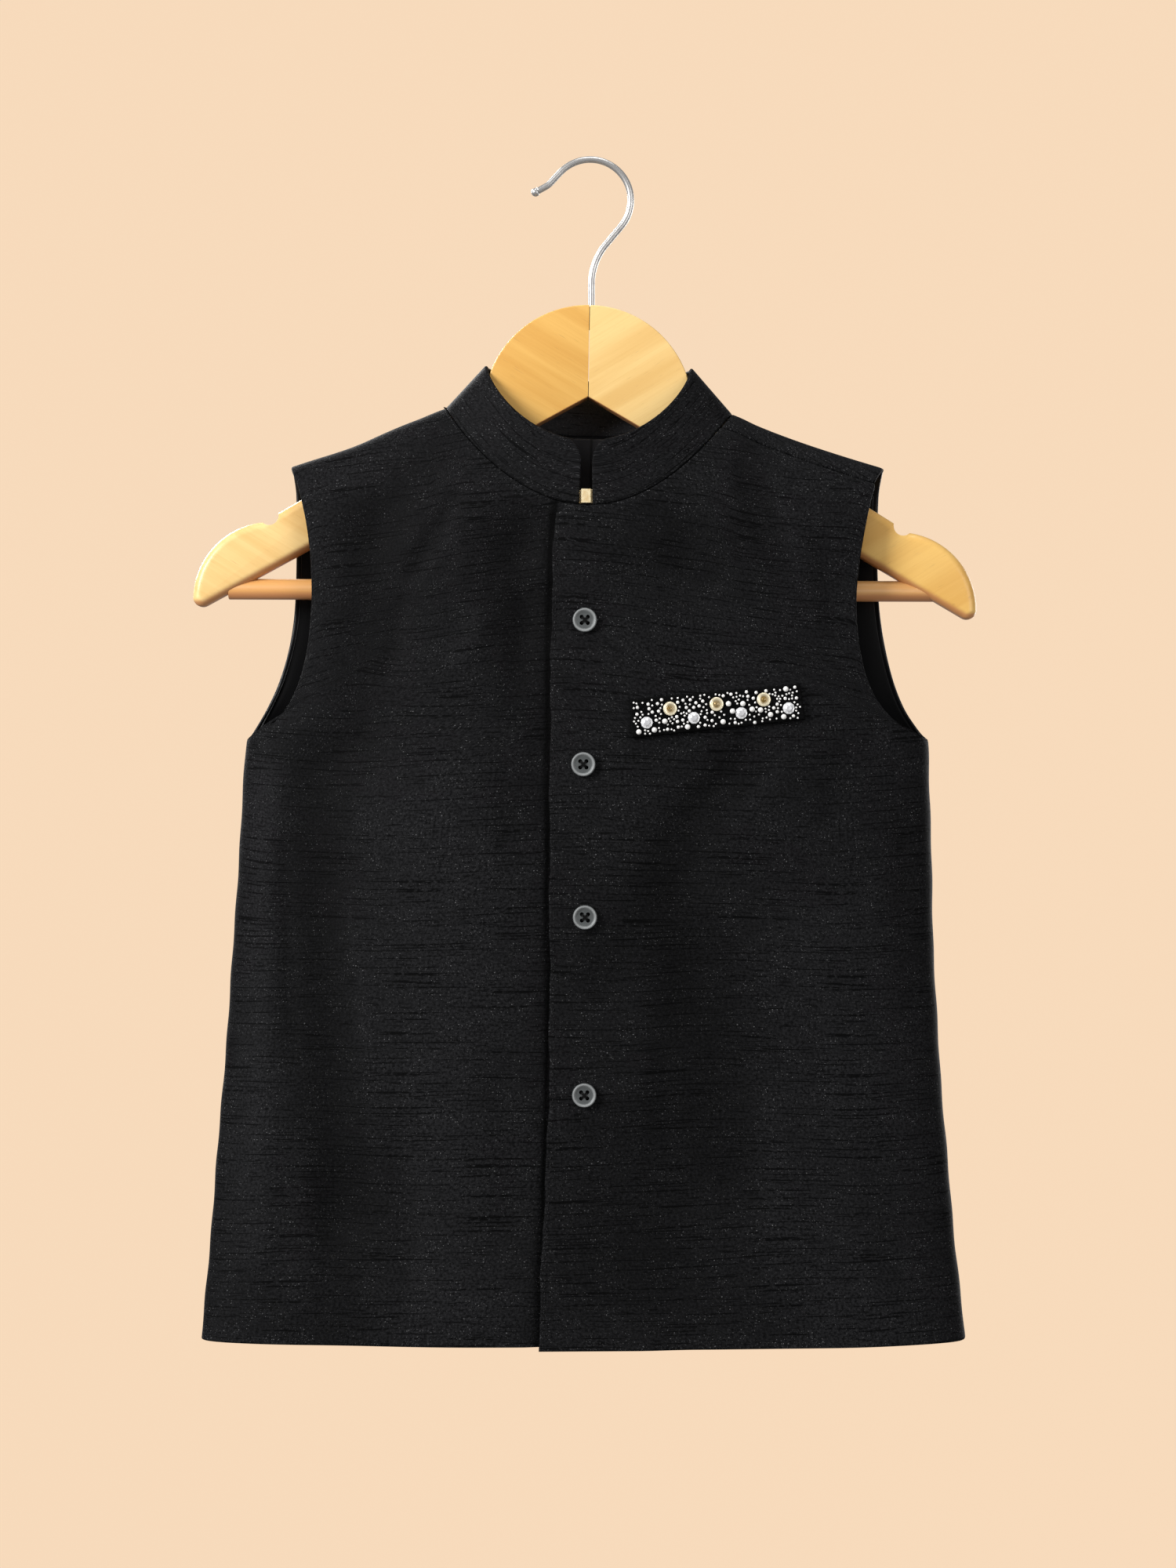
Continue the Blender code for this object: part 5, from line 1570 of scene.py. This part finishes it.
def make_dupion(name, painted_light_gain=1.0, calm=0.0):
    """Black slubbed silk: flecked all over, with thin dark yarns that come and go, and pale nubs.

    gain paints it paler, as painted light where the cloth lies in shade, and calm takes its flecks
    and slubs away, as on a facing."""
    f = Finish(name)
    flat = f.along_cloth()
    drift = f.noise(flat, (7, 7, 1), 1.0)
    lean = f.node("ShaderNodeCombineXYZ", values={0: 0.0, 1: (drift - 0.5) * 0.012, 2: 0.0})
    at = f.node("ShaderNodeVectorMath", {"operation": "ADD"}, {0: flat, 1: lean})
    breaks = f.noise(at, (300, 620, 1), 1.5).step(0.36, 0.50)
    thick = f.noise(at, (22, 1120, 1), 0.0).step(0.664, 0.686) * breaks * (1.0 - calm)
    short = f.noise(at, (80, 1500, 1), 0.0).step(0.690, 0.725)
    fleck = f.noise(at, (760, 820, 1), 3.0, 0.7)
    patches = f.noise(at, (85, 120, 1), 2.0)
    cloud = f.noise(at, (14, 18, 1), 3.0)
    weft = f.noise(at, (320, 3100, 1), 1.0)
    warp = f.noise(at, (2900, 260, 1), 1.0)
    # Pale nubs gather in patches and along the edges, paler there: partly wear, partly a painted highlight
    # where the edges catch light
    rim = f.marked("rim")
    bunch = f.most(patches.step(0.42, 0.60), rim.step(0.15, 0.60))
    nub = f.noise(at, (760, 1250, 1), 1.5).step(0.640, 0.700) * bunch
    worm = f.noise(at, (1500, 620, 1), 1.5).step(0.650, 0.710) * bunch
    # The brightest specks are painted glints of the yarn
    painted_glint = f.noise(at, (1350, 1500, 1), 0.0).step(0.74, 0.79) * patches.step(0.36, 0.62)
    speckle = fleck.step(0.30, 0.70) * (1.0 - calm) + 0.5 * calm
    colour = f.mixed(speckle, CLOTH_DEEP, CLOTH_FACE)
    colour = f.mixed(cloud.step(0.35, 0.65) * 0.35, colour, CLOTH_CLOUD)
    colour = f.mixed(f.most(thick, short * 0.8) * 0.95, colour, SLUB_DARK)
    # Painted light and shade from the mark scale the cloth's colour, never below LEAST_SHADE
    shade = f.most(painted_light_gain + 0.50 * painted_light_gain * f.marked("hollow"), LEAST_SHADE)
    colour = f.scaled(colour, shade)
    lit = f.maths("MINIMUM", shade, 1.0) * (1.0 - thick)
    colour = f.mixed(f.most(nub, worm) * (0.55 + 0.45 * rim) * lit, colour, NUB_PALE)
    colour = f.mixed(painted_glint * 0.9 * lit, colour, PAINTED_GLINT_PALE)
    rough = 0.58 + 0.18 * fleck
    height = 0.8 * fleck - 0.7 * thick + 0.3 * weft + 0.3 * warp + 0.5 * nub
    return f.look(colour, rough, height, 0.20, 0.8, Specular_IOR_Level=0.06)


def make_satin():
    """Smooth black lining with faint pulls down its length."""
    f = Finish("black_satin_cloth")
    at = f.along_cloth()
    pull = f.noise(at, (60, 7, 1), 2.0)
    weave = f.noise(at, (3000, 500, 1), 1.0)
    seam = f.node("ShaderNodeSeparateXYZ", values={0: at})
    middle = 1.0 - f.maths("ABSOLUTE", seam - 0.002, 0.0).step(0.0, 0.0012)
    colour = f.mixed(pull, (0.0034, 0.0034, 0.0039), (0.0074, 0.0074, 0.0082))
    colour = f.mixed(middle * 0.7, colour, (0.001, 0.001, 0.001))
    # Painted light and shade from the mark scale the lining's colour
    colour = f.scaled(colour, 1.0 + f.marked("hollow"))
    height = pull * 0.8 + weave * 0.1 - middle * 0.5
    return f.look(colour, 0.33 + 0.12 * pull, height, 0.5, 0.5, Specular_IOR_Level=0.2)


WOOD_GRAIN = (0.80, 0.66, 0.46)
WOOD_PORE = (0.34, 0.17, 0.06)
# The painted shade on the wood's undersides
WOOD_UNDERSIDE_SHADE = (0.52, 0.21, 0.080)


def make_wood(name, near, far, degrees):
    """Lacquered pale wood with its grain along the arm. near is its tone by the hook, far at the tip."""
    f = Finish(name)
    at = f.through()
    grain_at = f.turned(at, degrees)
    bend = f.noise(at, (9, 9, 9), 2.0)
    rings = f.noise(grain_at, (5, 60, 85), 3.0, 0.6)
    fine = f.noise(grain_at, (26, 900, 1300), 2.0, 0.6)
    pores = f.noise(grain_at, (120, 1500, 2400), 1.0).step(0.66, 0.78)
    place = f.node("ShaderNodeSeparateXYZ", values={0: at})
    reach = f.maths("ABSOLUTE", place, 0.0).step(0.035, 0.13)
    tone = f.mixed(reach, near, far)
    settings = {"data_type": "RGBA", "blend_type": "MULTIPLY"}
    dark = f.node("ShaderNodeMix", settings, {0: 1.0, 6: tone, 7: (*WOOD_GRAIN, 1.0)}, out=2)
    colour = f.mixed(rings.step(0.40, 0.72) * 0.62 + bend * 0.16, tone, dark)
    colour = f.mixed(fine.step(0.45, 0.8) * 0.28, colour, dark)
    colour = f.mixed(pores * 0.35, colour, WOOD_PORE)
    # Undersides painted a darker brown, painted shade where little light reaches
    colour = f.mixed(f.marked("under").step(0.12, 0.60) * 0.85, colour, WOOD_UNDERSIDE_SHADE)
    rough = 0.36 + 0.14 * fine
    height = rings * 0.4 + fine * 0.4 - pores * 0.5
    coat = {"Coat_Weight": 0.25, "Coat_Roughness": 0.18}
    return f.look(colour, rough, height, 0.10, 0.35, Specular_IOR_Level=0.4, **coat)


def make_steel():
    """Bright plated wire with faint drawing lines and a little dulling."""
    f = Finish("bright_plated_steel")
    at = f.through()
    drawn = f.noise(at, (500, 2400, 500), 1.0)
    dull = f.noise(at, (130, 130, 130), 3.0)
    colour = f.mixed(dull.step(0.35, 0.75), (0.60, 0.59, 0.575), (0.52, 0.51, 0.50))
    return f.look(colour, 0.33 + 0.08 * dull, drawn, 0.01, 0.08, Metallic=0.9)


def make_brass():
    """Gilt plate with fine scratches and darker hollows."""
    f = Finish("gilt_brass_plate")
    at = f.through()
    dull = f.noise(at, (500, 500, 500), 3.0)
    scratch = f.noise(at, (300, 3000, 4200), 2.0)
    colour = f.mixed(dull.step(0.35, 0.7), (0.97, 0.82, 0.52), (0.78, 0.58, 0.30))
    return f.look(colour, 0.2 + 0.25 * dull, dull + scratch * 0.3, 0.12, 0.5, Metallic=0.3)


def make_plastic():
    """Dark grey button plastic with a faint turned sheen, its raised rim painted paler as a highlight."""
    f = Finish("grey_button_plastic")
    at = f.through()
    cloud = f.noise(at, (420, 420, 420), 3.0)
    fine = f.noise(at, (5200, 5200, 5200), 1.0)
    colour = f.mixed(cloud, (0.055, 0.060, 0.061), (0.085, 0.092, 0.092))
    # The rim mark paints a highlight on the raised rim
    colour = f.mixed(f.marked("rim"), colour, (0.235, 0.245, 0.245))
    return f.look(colour, 0.34 + 0.16 * cloud, fine, 0.02, 0.5, Specular_IOR_Level=0.4)


def make_pearl():
    """White glass beads with a soft lustre."""
    f = Finish("white_bead_glass")
    cloud = f.noise(f.through(), (700, 700, 700), 2.0)
    colour = f.mixed(cloud, (0.96, 0.95, 0.93), (0.74, 0.72, 0.69))
    return f.look(colour, 0.16 + 0.1 * cloud, cloud, 0.03, 0.3, Coat_Weight=0.4, Coat_Roughness=0.08)


def make_sequin(name, heart, edge):
    """A bright plated sequin with a painted dark reflection in its sunken middle, paler on its rim."""
    f = Finish(name)
    cloud = f.noise(f.through(), (620, 620, 620), 2.0)
    colour = f.mixed(f.marked("rim"), heart, edge)
    colour = f.mixed(cloud.step(0.4, 0.75) * 0.4, colour, tuple(c * 0.6 for c in edge))
    return f.look(colour, 0.16 + 0.2 * cloud, cloud, 0.12, 0.5, Metallic=0.45)


def make_thread(name, pale):
    """Twisted sewing thread."""
    f = Finish(name)
    twist = f.noise(f.through(), (1600, 1600, 5200), 1.0)
    colour = f.mixed(twist, tuple(c * 0.5 for c in pale), pale)
    return f.look(colour, 0.6 + 0.1 * twist, twist, 0.05, 0.6, Specular_IOR_Level=0.12)


# Room, lights and camera


ROOM_SIDES = 96


def build_room():
    """A plain pale bowl all round: its floor far below, and a wall that curves up from it."""
    bend = np.linspace(-math.pi / 2, 0, 24)
    floor_radius = ROOM_RADIUS - ROOM_BEND
    profile = [(0.001, FLOOR_Z)] + [(r, FLOOR_Z) for r in np.linspace(0.4, floor_radius, 8)]
    for t in bend[1:]:
        out, up = ROOM_BEND * math.cos(t), ROOM_BEND * (1 + math.sin(t))
        profile.append((floor_radius + out, FLOOR_Z + up))
    profile.append((ROOM_RADIUS, ROOM_TOP))
    rings = [circle((0, 0, z), (1, 0, 0), (0, 1, 0), r, ROOM_SIDES) for r, z in profile]
    points, faces, _ = ring_solid(rings)
    mesh = bpy.data.meshes.new("room")
    mesh.from_pydata(points.tolist(), [], faces[:-2])
    mesh.shade_smooth()
    f = Finish("plain_pale_backdrop")
    cloud = f.noise(f.through(), (0.6, 0.6, 0.6), 1.0)
    colour = f.mixed(cloud, BACKDROP, tuple(c * 0.985 for c in BACKDROP))
    glow = {"Emission_Color": colour, "Emission_Strength": 1.0}
    material = f.look((0.02, 0.018, 0.015), 0.9, Specular_IOR_Level=0.0, **glow)
    room = new_object("room", mesh, material)
    room.visible_diffuse = False
    room.visible_glossy = False
    room.visible_shadow = False


# Soft round lamps, all turned to one point. Sizes are in metres.
Lamp = namedtuple("Lamp", "name at size watts")
LAMPS = (
    Lamp("key", (-2.3, -1.75, 0.8), 1.3, 111),
    Lamp("fill", (1.9, -2.2, 0.0), 1.8, 24),
    Lamp("top", (0.2, -0.5, 2.2), 1.4, 22),
    Lamp("behind", (-1.4, 2.2, 0.9), 1.4, 84),
    Lamp("behind_fill", (1.7, 2.0, -0.2), 1.6, 30),
)
LAMPS_AIM = Vector((0, 0, -0.3))
AIR_COLOUR = (1.0, 0.98, 0.97, 1.0)
AIR_STRENGTH = 0.29


def light_room():
    for lamp in LAMPS:
        light = bpy.data.lights.new(lamp.name, "AREA")
        light.shape, light.size, light.energy = "DISK", lamp.size, lamp.watts
        made = bpy.data.objects.new(lamp.name, light)
        made.location = lamp.at
        made.rotation_euler = (LAMPS_AIM - Vector(lamp.at)).to_track_quat("-Z", "Y").to_euler()
        made.visible_camera = False
        bpy.context.scene.collection.objects.link(made)
    world = bpy.data.worlds.new("air")
    world.use_nodes = True
    back = world.node_tree.nodes["Background"]
    back.inputs["Color"].default_value = AIR_COLOUR
    back.inputs["Strength"].default_value = AIR_STRENGTH
    bpy.context.scene.world = world
    bpy.context.scene.view_settings.view_transform = "Standard"


def place_camera():
    camera = bpy.data.cameras.new("camera")
    camera.lens, camera.sensor_width = CAMERA_LENS, 36
    made = bpy.data.objects.new("camera", camera)
    made.location = [c * MM for c in CAMERA_AT]
    made.rotation_euler = (math.pi / 2, 0, 0)
    bpy.context.scene.collection.objects.link(made)
    bpy.context.scene.camera = made


# The sizes each piece of cloth is cut to, in metres: width, length and flat area
Cut = namedtuple("Cut", "width length area held rests_on")


def declare(piece, node):
    """Hangs a piece of cloth in place of its solid."""
    ride(piece, node)


def main():
    for old in list(bpy.data.objects):
        bpy.data.objects.remove(old, do_unlink=True)
    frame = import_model()

    dupion, satin = make_dupion("black_dupion_cloth"), make_satin()
    # The collar's inside is painted paler, painted light where it lies in shade inside the neck
    facing = make_dupion("black_dupion_facing", 4.5, 0.75)
    brass = make_brass()
    wood = {
        -1: make_wood("wood_right_half", (0.80, 0.47, 0.125), (0.90, 0.62, 0.26), -31),
        1: make_wood("wood_left_half", (0.90, 0.63, 0.26), (0.84, 0.52, 0.15), 31),
    }
    bar_wood = make_wood("wood_bar", (0.78, 0.42, 0.15), (0.78, 0.42, 0.15), 0)

    build_hanger(wood)
    build_bar(bar_wood)
    build_hook(make_steel())
    declare(build_back([dupion, satin]), "back_panel")
    declare(build_front_right([dupion, satin]), "front_right")
    declare(build_front_left([dupion, satin]), "front_left")
    declare(build_lining([satin]), "back_lining")
    declare(build_collar([dupion, facing]), "collar")
    declare(build_welt([dupion]), "pocket_welt")
    build_buttons(make_plastic(), make_thread("black_thread", (0.005, 0.005, 0.005)))
    # The sequins' dark middles are painted reflections, with paler rims about them
    gold = make_sequin("gold_sequin_plate", (0.26, 0.16, 0.04), (0.96, 0.86, 0.62))
    silver = make_sequin("silver_sequin_plate", (0.72, 0.72, 0.74), (0.94, 0.94, 0.95))
    decorate_welt(make_pearl(), gold, silver)
    sew(make_thread("edge_thread", (0.030, 0.030, 0.031)))
    clasp = frame["nodes"]["collar_clasp"]
    for place in clasp.material_slots:
        place.material = brass

    build_room()
    light_room()
    place_camera()


main()
